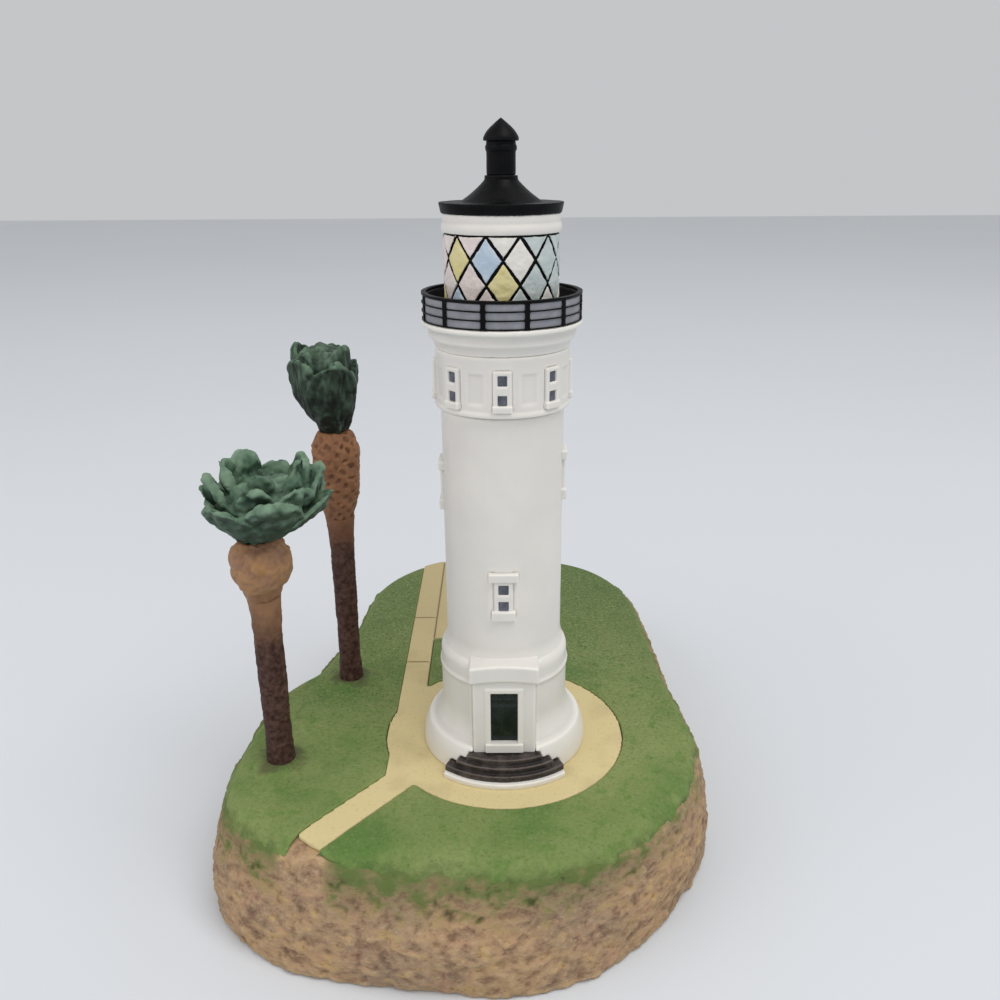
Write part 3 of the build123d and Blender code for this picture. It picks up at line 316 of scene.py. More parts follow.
def rock_material():
    """Cast stone: soft blotches of tan, ochre, pink and umber over a fine grain, and moss at the top.
    Hollows are darkened with painted shade and ridges lightened with a painted highlight, and the moss's
    hollows take a dark green painted shade.
    """
    material, tree, place = new_material("blotchy_cast_stone")
    bedding = {"Rotation": (0.0, math.radians(18), 0.0), "Scale": (1.0, 1.0, 1.6)}
    slanted = add(tree, "ShaderNodeMapping", bedding, {"Vector": place})[0]
    broad = add(tree, NOISE, {"Scale": per(15), "Detail": 2.0}, {"Vector": slanted})[0]
    blotch = add(tree, NOISE, {"Scale": per(4.2), "Detail": 3.0, "Roughness": 0.55}, {"Vector": slanted})[0]
    other = add(tree, NOISE, {"Scale": per(6.0), "Detail": 2.0, "Distortion": 1.0}, {"Vector": slanted})[0]
    fine = add(tree, NOISE, {"Scale": per(1.3), "Detail": 4.0, "Roughness": 0.65}, {"Vector": slanted})[0]
    hollow = add(tree, "ShaderNodeAttribute", attribute_name="hollow")["Fac"]
    spots = add(tree, "ShaderNodeSeparateXYZ", links={0: place})
    fall = add(tree, RANGE, {1: 0.0, 2: moss_front * MM, 4: moss_fall * MM}, {0: spots[1]})[0]
    level = add(tree, MATH, links={0: spots[2], 1: fall}, operation="ADD")[0]
    bare = add(tree, RANGE, {1: right_from * MM, 2: right_to * MM, 4: moss_right * MM}, {0: spots[0]})[0]
    level = add(tree, MATH, links={0: level, 1: bare}, operation="SUBTRACT")[0]
    ragged = add(tree, RANGE, {1: 0.3, 2: 0.7, 3: -moss_stray * MM, 4: moss_stray * MM}, {0: blotch})[0]
    level = add(tree, MATH, links={0: level, 1: ragged}, operation="ADD")[0]
    plan = add(tree, VECTOR, {1: (1.0, 1.0, 0.0)}, {0: place}, operation="MULTIPLY")[0]
    away = add(tree, VECTOR, {1: [length * MM for length in spur_end]}, {0: plan},
               operation="DISTANCE")["Value"]
    away = add(tree, RANGE, {1: spur_bare[0] * MM, 2: spur_bare[1] * MM}, {0: away})[0]
    covers = []
    for low, high in (moss_fade, green_fade):
        span = {1: (moss_edge + low) * MM, 2: (moss_edge + high) * MM}
        cover = add(tree, RANGE, span, {0: level})[0]
        covers.append(add(tree, MATH, links={0: cover, 1: away}, operation="MULTIPLY")[0])
    mossy, green = covers
    tufted = add(tree, RANGE, {1: 0.5, 2: 0.68, 4: 0.7}, {0: fine})[0]
    tufted = add(tree, MATH, links={0: mossy, 1: tufted}, operation="MULTIPLY")[0]
    shaded_moss = add(tree, RANGE, {1: 0.05, 2: 0.7, 4: 0.8}, {0: hollow})[0]
    shaded_moss = add(tree, MATH, links={0: mossy, 1: shaded_moss}, operation="MULTIPLY")[0]
    colour = layered(tree, "9D866E", [
        ("AF9170", broad, 0.38, 0.62, 1.0),
        ("B58C72", other, 0.54, 0.7, 0.55),
        ("BFA070", blotch, 0.54, 0.68, 0.75),
        ("755C4A", blotch, 0.47, 0.35, 0.7),
        ("C2AC8C", fine, 0.54, 0.72, 0.6),
        ("6B5546", fine, 0.44, 0.3, 0.6),
        # Painted shade in the hollows and a painted highlight on the ridges
        ("5A4638", hollow, 0.1, 1.0, 0.85),
        ("C4AB86", hollow, -0.1, -1.0, 0.6),
        ("77744C", mossy, 0.0, 1.0, 0.7),
        ("566C38", green, 0.0, 1.0, 0.85),
        ("5F763E", tufted, 0.0, 1.0, 1.0),
        # Dark green painted shade in the hollows of the moss
        ("2E3A20", shaded_moss, 0.0, 1.0, 1.0),
    ])
    rough = add(tree, RANGE, {1: 0.3, 2: 0.7, 3: 0.7, 4: 0.9}, {0: blotch})[0]
    surface(tree, colour, rough, fine, 0.3, {"Specular IOR Level": 0.2})
    return material


# Where the turf's paint changes, in millimetres
turf_edge = (26.0, 23.0)        # heights over which it turns a deeper green down over the shoulder, partly as painted shade
turf_back = 70.0                # it deepens from the tower's axis back to here
turf_stray = 2.0                # how far these borders stray
gritty = (-20.0, 40.0)          # the grit shows more and more from front to back between these
foot_darkening = (6.5, 3.5)          # the lawn turns a dark brown-green between these distances from a palm's middle


def turf_material(feet):
    """Green paint over a fine grit, which is drawn coarse enough to show: speckled light and dark, yellower
    in patches, darker and browner round the feet of the palms, deeper and grittier towards the back, and a
    deeper green down over the shoulder, partly as painted shade. Painted shade darkens the hollows between
    the tufts, and a painted highlight lightens their tops."""
    material, tree, place = new_material("gritty_green_turf_paint")
    broad = add(tree, NOISE, {"Scale": per(22), "Detail": 3.0}, {"Vector": place})[0]
    grit = add(tree, NOISE, {"Scale": per(0.7), "Detail": 3.0, "Roughness": 0.7}, {"Vector": place})[0]
    tuft = add(tree, NOISE, {"Scale": per(3.5), "Detail": 4.0}, {"Vector": place})[0]
    hollow = add(tree, "ShaderNodeAttribute", attribute_name="hollow")["Fac"]
    spots = add(tree, "ShaderNodeSeparateXYZ", links={0: place})
    uneven = add(tree, RANGE, {1: 0.3, 2: 0.7, 3: -turf_stray * MM, 4: turf_stray * MM}, {0: tuft})[0]
    shaggy = add(tree, MATH, links={0: spots[2], 1: uneven}, operation="ADD")[0]
    plan = add(tree, VECTOR, {1: (1.0, 1.0, 0.0)}, {0: place}, operation="MULTIPLY")[0]
    nearest = None
    for foot in feet:
        apart = add(tree, VECTOR, {1: (foot.x * MM, foot.y * MM, 0.0)}, {0: plan},
                    operation="DISTANCE")["Value"]
        if nearest:
            apart = add(tree, MATH, links={0: nearest, 1: apart}, operation="MINIMUM")[0]
        nearest = apart
    nearest = add(tree, MATH, links={0: nearest, 1: uneven}, operation="ADD")[0]
    sharp = add(tree, RANGE, {1: gritty[0] * MM, 2: gritty[1] * MM, 3: 0.45, 4: 1.0}, {0: spots[1]})[0]
    pale = add(tree, RANGE, {1: 0.55, 2: 0.72, 4: 0.7}, {0: grit})[0]
    pale = add(tree, MATH, links={0: pale, 1: sharp}, operation="MULTIPLY")[0]
    dark = add(tree, RANGE, {1: 0.46, 2: 0.3, 4: 1.0}, {0: grit})[0]
    dark = add(tree, MATH, links={0: dark, 1: sharp}, operation="MULTIPLY")[0]
    colour = layered(tree, "75874F", [
        ("5C7A3E", broad, 0.52, 0.66, 1.0),
        ("83905A", broad, 0.48, 0.34, 0.8),
        ("557A34", tuft, 0.54, 0.7, 0.7),
        ("55683F", spots[1], 0.0, turf_back * MM, 0.7),
        ("9BA673", pale, 0.0, 1.0, 1.0),
        ("3E4E2B", dark, 0.0, 1.0, 1.0),
        ("4B4A33", nearest, foot_darkening[0] * MM, foot_darkening[1] * MM, 0.7),
        ("4C6130", shaggy, turf_edge[0] * MM, turf_edge[1] * MM, 0.85),
        # Painted shade between the tufts and a painted highlight on their tops
        ("2E3D1E", hollow, 0.12, 1.0, 0.7),
        ("8E9D60", hollow, -0.2, -1.0, 0.45),
    ])
    rough = add(tree, RANGE, {1: 0.3, 2: 0.7, 3: 0.65, 4: 0.85}, {0: grit})[0]
    surface(tree, colour, rough, grit, 0.22, {"Specular IOR Level": 0.25})
    return material


path_tone_and_shade = (15.0, 60.0)        # the path gets greyer and darker between these, towards the back, partly its own colour and partly painted shade


def paving_material():
    """Flat cream paint, stippled with a fine speck, a little dirtier in patches, and greyer and darker
    towards the back, partly as painted shade.
    """
    material, tree, place = new_material("stippled_cream_acrylic")
    broad = add(tree, NOISE, {"Scale": per(13), "Detail": 4.0}, {"Vector": place})[0]
    speck = add(tree, NOISE, {"Scale": per(0.8), "Detail": 3.0, "Roughness": 0.7}, {"Vector": place})[0]
    hollow = add(tree, "ShaderNodeAttribute", attribute_name="hollow")["Fac"]
    back = add(tree, "ShaderNodeSeparateXYZ", links={0: place})[1]
    colour = layered(tree, "D2C393", [
        ("A39672", back, path_tone_and_shade[0] * MM, path_tone_and_shade[1] * MM, 0.7),
        ("B5A67C", broad, 0.5, 0.72, 0.7),
        ("9C8B60", speck, 0.42, 0.28, 0.5),
        ("6E5F42", hollow, 0.1, 1.0, 0.9),
    ])
    rough = add(tree, RANGE, {1: 0.3, 2: 0.7, 3: 0.6, 4: 0.75}, {0: broad})[0]
    surface(tree, colour, rough, speck, 0.05, {"Specular IOR Level": 0.3})
    return material


def two_toned(name, under, over, size, rough, depth, values, detail=2.0, twist=0.0, drawn=1.0):
    """Two close tones in marks of one size in millimetres; drawn under 1 draws the marks out upright."""
    material, tree, place = new_material(name)
    spot = add(tree, "ShaderNodeMapping", {"Scale": (1.0, 1.0, drawn)}, {"Vector": place})[0]
    marks = add(tree, NOISE, {"Scale": per(size), "Detail": detail, "Distortion": twist},
                {"Vector": spot})[0]
    gloss = add(tree, RANGE, {3: rough[0], 4: rough[1]}, {0: marks})[0]
    surface(tree, layered(tree, under, [(over, marks, 0.0, 1.0, 1.0)]), gloss, marks, depth, values)
    return material


rock_paint = rock_material()
paving_paint = paving_material()
# Short green felt with a faint sheen: matted fibres, drawn coarser than they are so that they show
felt = two_toned("pressed_green_felt", "2F4A38", "4C6B54", 0.7, (0.85, 0.98), 0.15,
                 {"Specular IOR Level": 0.15, "Sheen Weight": 0.3}, detail=5.0, twist=1.5)
# Drawn steel wire with fine lengthwise marks
steel = two_toned("drawn_steel", "8A8A8A", "A8A8A8", 0.1, (0.3, 0.5), 0.01, {"Metallic": 1.0}, drawn=0.05)
# Plain pale floor with the faintest unevenness
floor_paint = two_toned("pale_matt_floor", "D4DAE2", "D9DFE6", 300, (0.7, 0.8), 0.0,
                        {"Specular IOR Level": 0.1})

# Floor
floor_reach = 2500.0
floor_mesh = bpy.data.meshes.new("floor")
corners = [(x * floor_reach * MM, y * floor_reach * MM, 0) for x, y in ((-1, -1), (1, -1), (1, 1), (-1, 1))]
floor_mesh.from_pydata(corners, [], [(0, 1, 2, 3)])
floor = bpy.data.objects.new("floor", floor_mesh)
bpy.context.scene.collection.objects.link(floor)
floor_mesh.materials.append(floor_paint)


# Making a piece
def draft(name, mesh):
    """A working object for a mesh in millimetres."""
    obj = bpy.data.objects.new(name, mesh)
    bpy.context.scene.collection.objects.link(obj)
    return obj


def settle(obj):
    """Works an object's modifiers into a plain mesh and removes the object."""
    depsgraph = bpy.context.evaluated_depsgraph_get()
    mesh = bpy.data.meshes.new_from_object(obj.evaluated_get(depsgraph))
    bpy.data.objects.remove(obj)
    return mesh


weld_distance = 0.002           # corners of the solids' loose triangles that are nearer than this are one


def solid_copy(node):
    """A merged copy of a solid's mesh, in millimetres."""
    shell = bmesh.new()
    shell.from_mesh(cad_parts[node].data)
    bmesh.ops.scale(shell, vec=(1 / MM,) * 3, verts=shell.verts)
    bmesh.ops.remove_doubles(shell, verts=shell.verts, dist=weld_distance)
    mesh = bpy.data.meshes.new(node)
    shell.to_mesh(mesh)
    shell.free()
    mesh.materials.clear()
    return mesh


def places(mesh):
    """Places of a mesh's vertices, as an array."""
    place = np.empty(len(mesh.vertices) * 3, np.float32)
    mesh.vertices.foreach_get("co", place)
    return place.reshape(-1, 3).astype(float)


def move(mesh, place):
    """Puts a mesh's vertices at new places."""
    mesh.vertices.foreach_set("co", place.astype(np.float32).ravel())
    mesh.update()


def soften(obj, voxel, rounds):
    """Rounds every edge the way thick paint over a casting does."""
    remesh = obj.modifiers.new("rounded", "REMESH")
    remesh.mode = "VOXEL"
    remesh.voxel_size = voxel
    remesh.use_smooth_shade = True
    ease = obj.modifiers.new("eased", "SMOOTH")
    ease.factor = 0.5
    ease.iterations = rounds


def geometry_tree(name, inputs):
    """A geometry tree with named inputs; gives the tree and the sockets that feed it."""
    tree = bpy.data.node_groups.new(name, "GeometryNodeTree")
    tree.interface.new_socket("Geometry", in_out="INPUT", socket_type="NodeSocketGeometry")
    for label, kind in inputs.items():
        tree.interface.new_socket(label, in_out="INPUT", socket_type="NodeSocket" + kind)
    tree.interface.new_socket("Geometry", in_out="OUTPUT", socket_type="NodeSocketGeometry")
    return tree, add(tree, "NodeGroupInput")


def close_tree(tree, shape, given):
    """Ends a geometry tree with a real mesh in its material."""
    whole = add(tree, "GeometryNodeRealizeInstances", links={0: shape})[0]
    coated = add(tree, "GeometryNodeSetMaterial", links={0: whole, "Material": given["Material"]})[0]
    add(tree, "NodeGroupOutput", links={0: coated})


def dress(obj, tree, sizes):
    """Puts a geometry tree on an object, with its inputs set by their identifiers."""
    modifier = obj.modifiers.new(tree.name, "NODES")
    modifier.node_group = tree
    for item in tree.interface.items_tree:
        if item.in_out == "INPUT" and item.name in sizes:
            modifier[item.identifier] = sizes[item.name]


def rough_casting_tree():
    """Swells a casting, lays lumps and grain along its normal except where it is marked firm, then marks the
    hollows and ridges, which the paints darken with painted shade and lighten with a painted highlight."""
    tree, given = geometry_tree("rough_casting", {
        "Swell": "Float", "Lump size": "Float", "Lump depth": "Float", "Grain size": "Float",
        "Grain depth": "Float", "Upright stretch": "Float", "Keep flats": "Float", "Hollow rounds": "Int",
        "Hollow gain": "Float", "Material": "Material",
    })
    place = add(tree, "GeometryNodeInputPosition")[0]
    normal = add(tree, "GeometryNodeInputNormal")[0]
    stretch = add(tree, "ShaderNodeCombineXYZ", {0: 1.0, 1: 1.0}, {2: given["Upright stretch"]})[0]
    spot = add(tree, VECTOR, links={0: place, 1: stretch}, operation="MULTIPLY")[0]
    moved = []
    for size, depth in (("Lump size", "Lump depth"), ("Grain size", "Grain depth")):
        scale = add(tree, MATH, {0: 1.0}, {1: given[size]}, operation="DIVIDE")[0]
        wave = add(tree, NOISE, {"Detail": 2.0}, {"Vector": spot, "Scale": scale})[0]
        swing = add(tree, RANGE, {3: -1.0, 4: 1.0}, {0: wave})[0]
        moved.append(add(tree, MATH, links={0: swing, 1: given[depth]}, operation="MULTIPLY")[0])
    both = add(tree, MATH, links={0: moved[0], 1: moved[1]}, operation="ADD")[0]
    level = add(tree, "ShaderNodeSeparateXYZ", links={0: normal})[2]
    level = add(tree, MATH, links={0: level}, operation="ABSOLUTE")[0]
    flat = add(tree, RANGE, {1: 0.7, 2: 0.97}, {0: level})[0]
    flat = add(tree, MATH, links={0: flat, 1: given["Keep flats"]}, operation="MULTIPLY")[0]
    firm = add(tree, "GeometryNodeInputNamedAttribute", {"Name": "firm"}, data_type="FLOAT")[0]
    flat = add(tree, MATH, links={0: flat, 1: firm}, operation="MAXIMUM")[0]
    free = add(tree, MATH, {0: 1.0}, {1: flat}, operation="SUBTRACT")[0]
    both = add(tree, MATH, links={0: both, 1: free}, operation="MULTIPLY")[0]
    both = add(tree, MATH, links={0: both, 1: given["Swell"]}, operation="ADD")[0]
    offset = add(tree, VECTOR, links={0: normal, "Scale": both}, operation="SCALE")[0]
    shape = add(tree, "GeometryNodeSetPosition", links={"Geometry": given["Geometry"], "Offset": offset})[0]
    evened = add(tree, "GeometryNodeBlurAttribute", links={1: given["Hollow rounds"], 0: place},
                 data_type="FLOAT_VECTOR")[0]
    rise = add(tree, VECTOR, links={0: evened, 1: place}, operation="SUBTRACT")[0]
    depth = add(tree, VECTOR, links={0: rise, 1: normal}, operation="DOT_PRODUCT")["Value"]
    depth = add(tree, MATH, links={0: depth, 1: given["Hollow gain"]}, operation="MULTIPLY")[0]
    marked = add(tree, "GeometryNodeStoreNamedAttribute", {"Name": "hollow"},
                 {"Geometry": shape, "Value": depth}, data_type="FLOAT", domain="POINT")[0]
    smooth = add(tree, "GeometryNodeSetShadeSmooth", links={0: marked})[0]
    close_tree(tree, smooth, given)
    return tree


pit_wander = 4.0                # size of the patches in which rows of pits stray together


def dimpled_boot_tree():
    """Uneven staggered rows of pits round an upright axis, where the old leaf bases were."""
    tree, given = geometry_tree("dimpled_boot", {
        "Middle": "Vector", "Count": "Int", "Pitch": "Float", "Depth": "Float", "Stray": "Float",
        "Material": "Material",
    })
    place = add(tree, "GeometryNodeInputPosition")[0]
    normal = add(tree, "GeometryNodeInputNormal")[0]
    apart = add(tree, VECTOR, links={0: place, 1: given["Middle"]}, operation="SUBTRACT")[0]
    parts = add(tree, "ShaderNodeSeparateXYZ", links={0: apart})
    turn = add(tree, MATH, links={0: parts[1], 1: parts[0]}, operation="ARCTAN2")[0]
    turn = add(tree, MATH, links={0: turn, 1: given["Count"]}, operation="MULTIPLY")[0]
    row = add(tree, MATH, {1: math.tau}, {0: parts[2]}, operation="MULTIPLY")[0]
    row = add(tree, MATH, links={0: row, 1: given["Pitch"]}, operation="DIVIDE")[0]
    wander = add(tree, NOISE, {"Scale": 1 / pit_wander, "Detail": 2.0}, {"Vector": place})[0]
    wander = add(tree, RANGE, {1: 0.3, 2: 0.7, 3: -1.0}, {0: wander})[0]
    wander = add(tree, MATH, links={0: wander, 1: given["Stray"]}, operation="MULTIPLY")[0]
    turn = add(tree, MATH, links={0: turn, 1: wander}, operation="ADD")[0]
    row = add(tree, MATH, links={0: row, 1: wander}, operation="SUBTRACT")[0]
    across = add(tree, MATH, links={0: turn}, operation="COSINE")[0]
    along = add(tree, MATH, links={0: row}, operation="COSINE")[0]
    both = add(tree, MATH, links={0: across, 1: along}, operation="MULTIPLY")[0]
    pit = add(tree, RANGE, {1: 0.15, 2: 0.9}, {0: both})[0]
    pit = add(tree, MATH, links={0: pit, 1: given["Depth"]}, operation="MULTIPLY")[0]
    pit = add(tree, MATH, {1: -1.0}, {0: pit}, operation="MULTIPLY")[0]
    offset = add(tree, VECTOR, links={0: normal, "Scale": pit}, operation="SCALE")[0]
    shape = add(tree, "GeometryNodeSetPosition", links={"Geometry": given["Geometry"], "Offset": offset})[0]
    close_tree(tree, shape, given)
    return tree


def leaf_whorl_tree():
    """A whorl of one leaf shape, each leaf turned, leaned and sized a little differently, joined to what is
    there."""
    tree, given = geometry_tree("leaf_whorl", {
        "Leaf": "Object", "Count": "Int", "Start": "Float", "Turn spread": "Float", "Lean spread": "Float",
        "Size spread": "Float", "Seed": "Int", "Material": "Material",
    })
    index = add(tree, "GeometryNodeInputIndex")[0]
    swings = []
    for offset, spread in enumerate(("Turn spread", "Lean spread", "Size spread")):
        seed = add(tree, MATH, {1: offset}, {0: given["Seed"]}, operation="ADD")[0]
        chance = add(tree, "FunctionNodeRandomValue", {2: -1.0, 3: 1.0}, {7: index, 8: seed},
                     data_type="FLOAT")[1]
        swings.append(add(tree, MATH, links={0: chance, 1: given[spread]}, operation="MULTIPLY")[0])
    turn = add(tree, MATH, links={0: index, 1: given["Count"]}, operation="DIVIDE")[0]
    turn = add(tree, MATH, {1: math.tau}, {0: turn}, operation="MULTIPLY")[0]
    turn = add(tree, MATH, links={0: turn, 1: given["Start"]}, operation="ADD")[0]
    turn = add(tree, MATH, links={0: turn, 1: swings[0]}, operation="ADD")[0]
    angles = add(tree, "ShaderNodeCombineXYZ", links={1: swings[1], 2: turn})[0]
    rotation = add(tree, "FunctionNodeEulerToRotation", links={0: angles})[0]
    size = add(tree, MATH, {1: 1.0}, {0: swings[2]}, operation="ADD")[0]
    spots = add(tree, "GeometryNodePoints", links={0: given["Count"]})[0]
    leaf = add(tree, "GeometryNodeObjectInfo", links={0: given["Leaf"]})[4]
    leaves = add(tree, "GeometryNodeInstanceOnPoints", links={0: spots, 2: leaf, 5: rotation, 6: size})[0]
    joined = add(tree, "GeometryNodeJoinGeometry", links={0: given["Geometry"]})[0]
    tree.links.new(leaves, joined.node.inputs[0])
    close_tree(tree, joined, given)
    return tree


rough_casting = rough_casting_tree()
dimpled_boot = dimpled_boot_tree()
leaf_whorl = leaf_whorl_tree()


def softened(node, voxel, rounds=2):
    """A solid's mesh with every edge rounded, in millimetres."""
    obj = draft(node + "_draft", solid_copy(node))
    soften(obj, voxel, rounds)
    return settle(obj)


def finished(name, mesh, slot, paint, *nodes, swell=0.0, lump=(6.0, 0.0), grain=(1.0, 0.0), stretch=1.0,
             keep_flats=0.0, rounds=6, gain=8.0):
    """Roughens a mesh, brings it into the frame and lets it stand for its solids. Lumps and grain are pairs
    of size and depth in millimetres."""
    obj = draft(name + "_draft", mesh)
    dress(obj, rough_casting, {
        "Swell": swell, "Lump size": lump[0], "Lump depth": lump[1], "Grain size": grain[0],
        "Grain depth": grain[1], "Upright stretch": stretch, "Keep flats": keep_flats,
        "Hollow rounds": rounds, "Hollow gain": gain, "Material": paint,
    })
    mesh = settle(obj)
    mesh.transform(Matrix.Scale(MM, 4))
    piece = bpy.data.objects.new(name, mesh)
    bpy.context.scene.collection.objects.link(piece)
    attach(piece, "root")
    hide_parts(*nodes)


def cast(node, slot, paint, voxel, soft=2, **rough):
    """A softened and roughened copy of a solid, with its paint."""
    finished(node + "_casting", softened(node, voxel, soft), slot, paint, node, **rough)


def box_mm(node):
    """Lowest and highest corner of a solid, in millimetres."""
    low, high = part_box(node)
    return Vector(low) / MM, Vector(high) / MM


# White castings of the tower; frames and portal swell to close the glue gap round them
white_relief = {"lump": (9.0, 0.06), "grain": (1.2, 0.012)}
for node, voxel, soft, swell in (
    ("step_slab", 0.2, 2, 0.05), ("door_portal", 0.18, 3, 0.12), ("door_sill", 0.14, 3, 0.1),
    ("watch_room", 0.29, 3, 0.0), ("gallery_deck", 0.3, 2, 0.0), ("lantern_cornice", 0.25, 2, 0.0),
    ("shaft_window_frames", 0.16, 3, 0.12), ("watch_window_frames", 0.16, 3, 0.12),
):
    cast(node, "tower_white", white_paint, voxel, soft, swell=swell, **white_relief)

# Plinth, with the ledge over its foot ring cut again after the rounding
ledge_height = 6.8              # over the paving
ledge_depth = 0.35
ledge_width = 0.9
plinth_wall = 14.8              # the flare lies farther out than this
paving_top = box_mm("path_paving")[1].z
plinth_mesh = softened("tower_plinth", 0.36)
place = places(plinth_mesh)
radius = np.hypot(place[:, 0], place[:, 1])
over = place[:, 2] - paving_top - ledge_height
cut = np.where(over > 0, np.exp(-(over / ledge_width) ** 2), 0) * (radius > plinth_wall)
place[:, :2] *= (1 - ledge_depth * cut / np.maximum(radius, plinth_wall))[:, None]
move(plinth_mesh, place)
finished("tower_plinth_casting", plinth_mesh, "tower_white", white_paint, "tower_plinth",
         gain=6.0, **white_relief)

# Shaft, run out at its foot into the plinth's shoulder
foot_fillet = 3.0               # height of the run-out
foot_reach = 0.8                # how far it stands out
foot_droop = 1.1                # how far its edge hangs down over the shoulder
shaft_wall = 12.0               # what lies farther out than this is the outside
shaft_foot = box_mm("tower_plinth")[1].z
shaft_mesh = softened("tower_shaft", 0.4)
place = places(shaft_mesh)
radius = np.hypot(place[:, 0], place[:, 1])
low = np.clip(1 - (place[:, 2] - shaft_foot) / foot_fillet, 0, 1) * (radius > shaft_wall)
place[:, :2] *= (1 + foot_reach * low ** 2 / np.maximum(radius, shaft_wall))[:, None]
place[:, 2] -= foot_droop * low ** 4
move(shaft_mesh, place)
finished("tower_shaft_casting", shaft_mesh, "tower_white", white_paint, "tower_shaft", **white_relief)

# Black castings of the roof
for node in ("roof_cone", "vent_stack", "vent_cap"):
    cast(node, "iron_black", black_paint, voxel=0.2, lump=(3.0, 0.06), grain=(0.7, 0.03), gain=12.0)

# Lantern, gallery, steps, door and window panes; the lantern's panes are drawn in, so that its bars show
cast("lantern_core", "iron_black", black_paint, voxel=0.38, lump=(3.0, 0.03))
cast("entry_steps", "step_brown", step_paint, voxel=0.17, lump=(3.0, 0.08), grain=(0.8, 0.04), gain=12.0)
cast("door_leaf", "door_green", door_paint, voxel=0.12, lump=(2.0, 0.02), gain=12.0)
cast("gallery_parapet", "parapet_grey", parapet_paint, voxel=0.2, lump=(3.0, 0.04), gain=10.0)
cast("shaft_window_panes", "window_slate", window_paint, voxel=0.12)
cast("watch_window_panes", "window_slate", window_paint, voxel=0.12)
cast("gallery_railing", "iron_black", black_paint, voxel=0.12, soft=1, swell=-0.04, lump=(2.0, 0.03),
     gain=14.0)
for colour, paint in pane_paints.items():
    cast("lantern_panes_" + colour, "pane_" + colour, paint, voxel=0.15, soft=7, swell=-0.1,
         lump=(2.0, 0.25), gain=6.0)

# The base's shoulder: rock, turf and paving all bend down towards the edge of the lawn
shoulder_width = 7.0
shoulder_drop = 3.2
shoulder_most = 1.5             # the bend grows past the edge up to this root of its full measure
shoulder_foot = 10.0            # below this height the rock keeps its shape
shoulder_front = -20.0          # full from here to the front, and little of it from the next to the back
shoulder_back = 20.0
back_share = 0.15
spur_corner = (-37.0, -41.0)    # the shoulder is weak round the spur's right corner
corner_width = 5.0
turf_sink = 2.0                 # the turf's own edge runs out into the rock
sink_width = 3.0
tower_clear = 12.0              # the rim of the tower's socket lies nearer to its axis than this
palm_clear = 4.0                # and the rim of a palm's socket nearer to the palm's middle than this
level_slack = 0.01              # corners this near to the rock's highest level are on its top
rock_low, rock_high = box_mm("base_rock")
middle = (rock_low + rock_high) / 2
palm_feet = {}
for palm in ("front_palm", "rear_palm"):
    trunk_low, trunk_high = box_mm(palm + "_trunk")
    palm_feet[palm] = (trunk_low + trunk_high) / 2
sockets = [(Vector((0, 0)), tower_clear)] + [(foot, palm_clear) for foot in palm_feet.values()]
rim = places(solid_copy("base_rock"))
rim = rim[rim[:, 2] > rock_high.z - level_slack, :2]
for socket, clear in sockets:
    rim = rim[np.hypot(rim[:, 0] - socket.x, rim[:, 1] - socket.y) > clear]
rim = rim - np.array(middle.xy)
rim = rim[np.argsort(np.arctan2(rim[:, 1], rim[:, 0]))]
rim_turns = np.arctan2(rim[:, 1], rim[:, 0])
rim_reaches = np.hypot(rim[:, 0], rim[:, 1])


def past_rim(place):
    """How far each place lies outside the lawn's edge, less than nothing inside it."""
    plan = place[:, :2] - np.array(middle.xy)
    edge = np.interp(np.arctan2(plan[:, 1], plan[:, 0]), rim_turns, rim_reaches, period=math.tau)
    return np.hypot(plan[:, 0], plan[:, 1]) - edge


def shouldered(mesh, sink=0.0):
    """Bends a mesh down towards the lawn's edge; sink is a further drop at the very edge."""
    place = places(mesh)
    past = past_rim(place)
    bend = np.clip(1 + past / shoulder_width, 0, shoulder_most) ** 2
    hem = np.clip(1 + past / sink_width, 0, 1) ** 2
    free = np.clip((place[:, 2] - shoulder_foot) / (rock_high.z - shoulder_foot), 0, 1)
    away = np.hypot(place[:, 0] - spur_corner[0], place[:, 1] - spur_corner[1])
    held = np.exp(-(away / corner_width) ** 2)
    forward = (place[:, 1] - shoulder_back) / (shoulder_front - shoulder_back)
    forward = np.clip(forward, back_share, 1) * (1 - held)
    place[:, 2] -= (shoulder_drop * bend * forward + sink * hem * (1 - held)) * free
    move(mesh, place)


rock_mesh = softened("base_rock", 0.75)
shouldered(rock_mesh)
finished("base_rock_casting", rock_mesh, "rock", rock_paint, "base_rock",
         lump=(4.4, 1.0), grain=(1.9, 0.6), stretch=1.3, keep_flats=1.0, rounds=8, gain=2.2)

# Paving, with its joints scored again after the rounding
joint_depth = 0.3
joint_width = 0.4
lane = (-26.85, -20.15)         # the lane's two edges
lane_joints = (33.0, 59.0)      # where joints cross the lane
yard_front = 46.0               # the yard beside the lane begins here


def score(place, apart, where):
    """Presses a joint into the paving's top where it runs; apart is the distance across the joint."""
    pressed = np.exp(-(apart / joint_width) ** 2) * where
    place[:, 2] -= joint_depth * pressed * (place[:, 2] > paving_top - joint_depth)


paving_mesh = softened("path_paving", 0.4, 1)
place = places(paving_mesh)
for joint in lane_joints:
    score(place, place[:, 1] - joint, (place[:, 0] > lane[0]) & (place[:, 0] < lane[1]))
score(place, place[:, 0] - lane[1], place[:, 1] > yard_front)
move(paving_mesh, place)
shouldered(paving_mesh)
finished("path_paving_casting", paving_mesh, "paving", paving_paint, "path_paving",
         lump=(9.0, 0.05), gain=9.0)

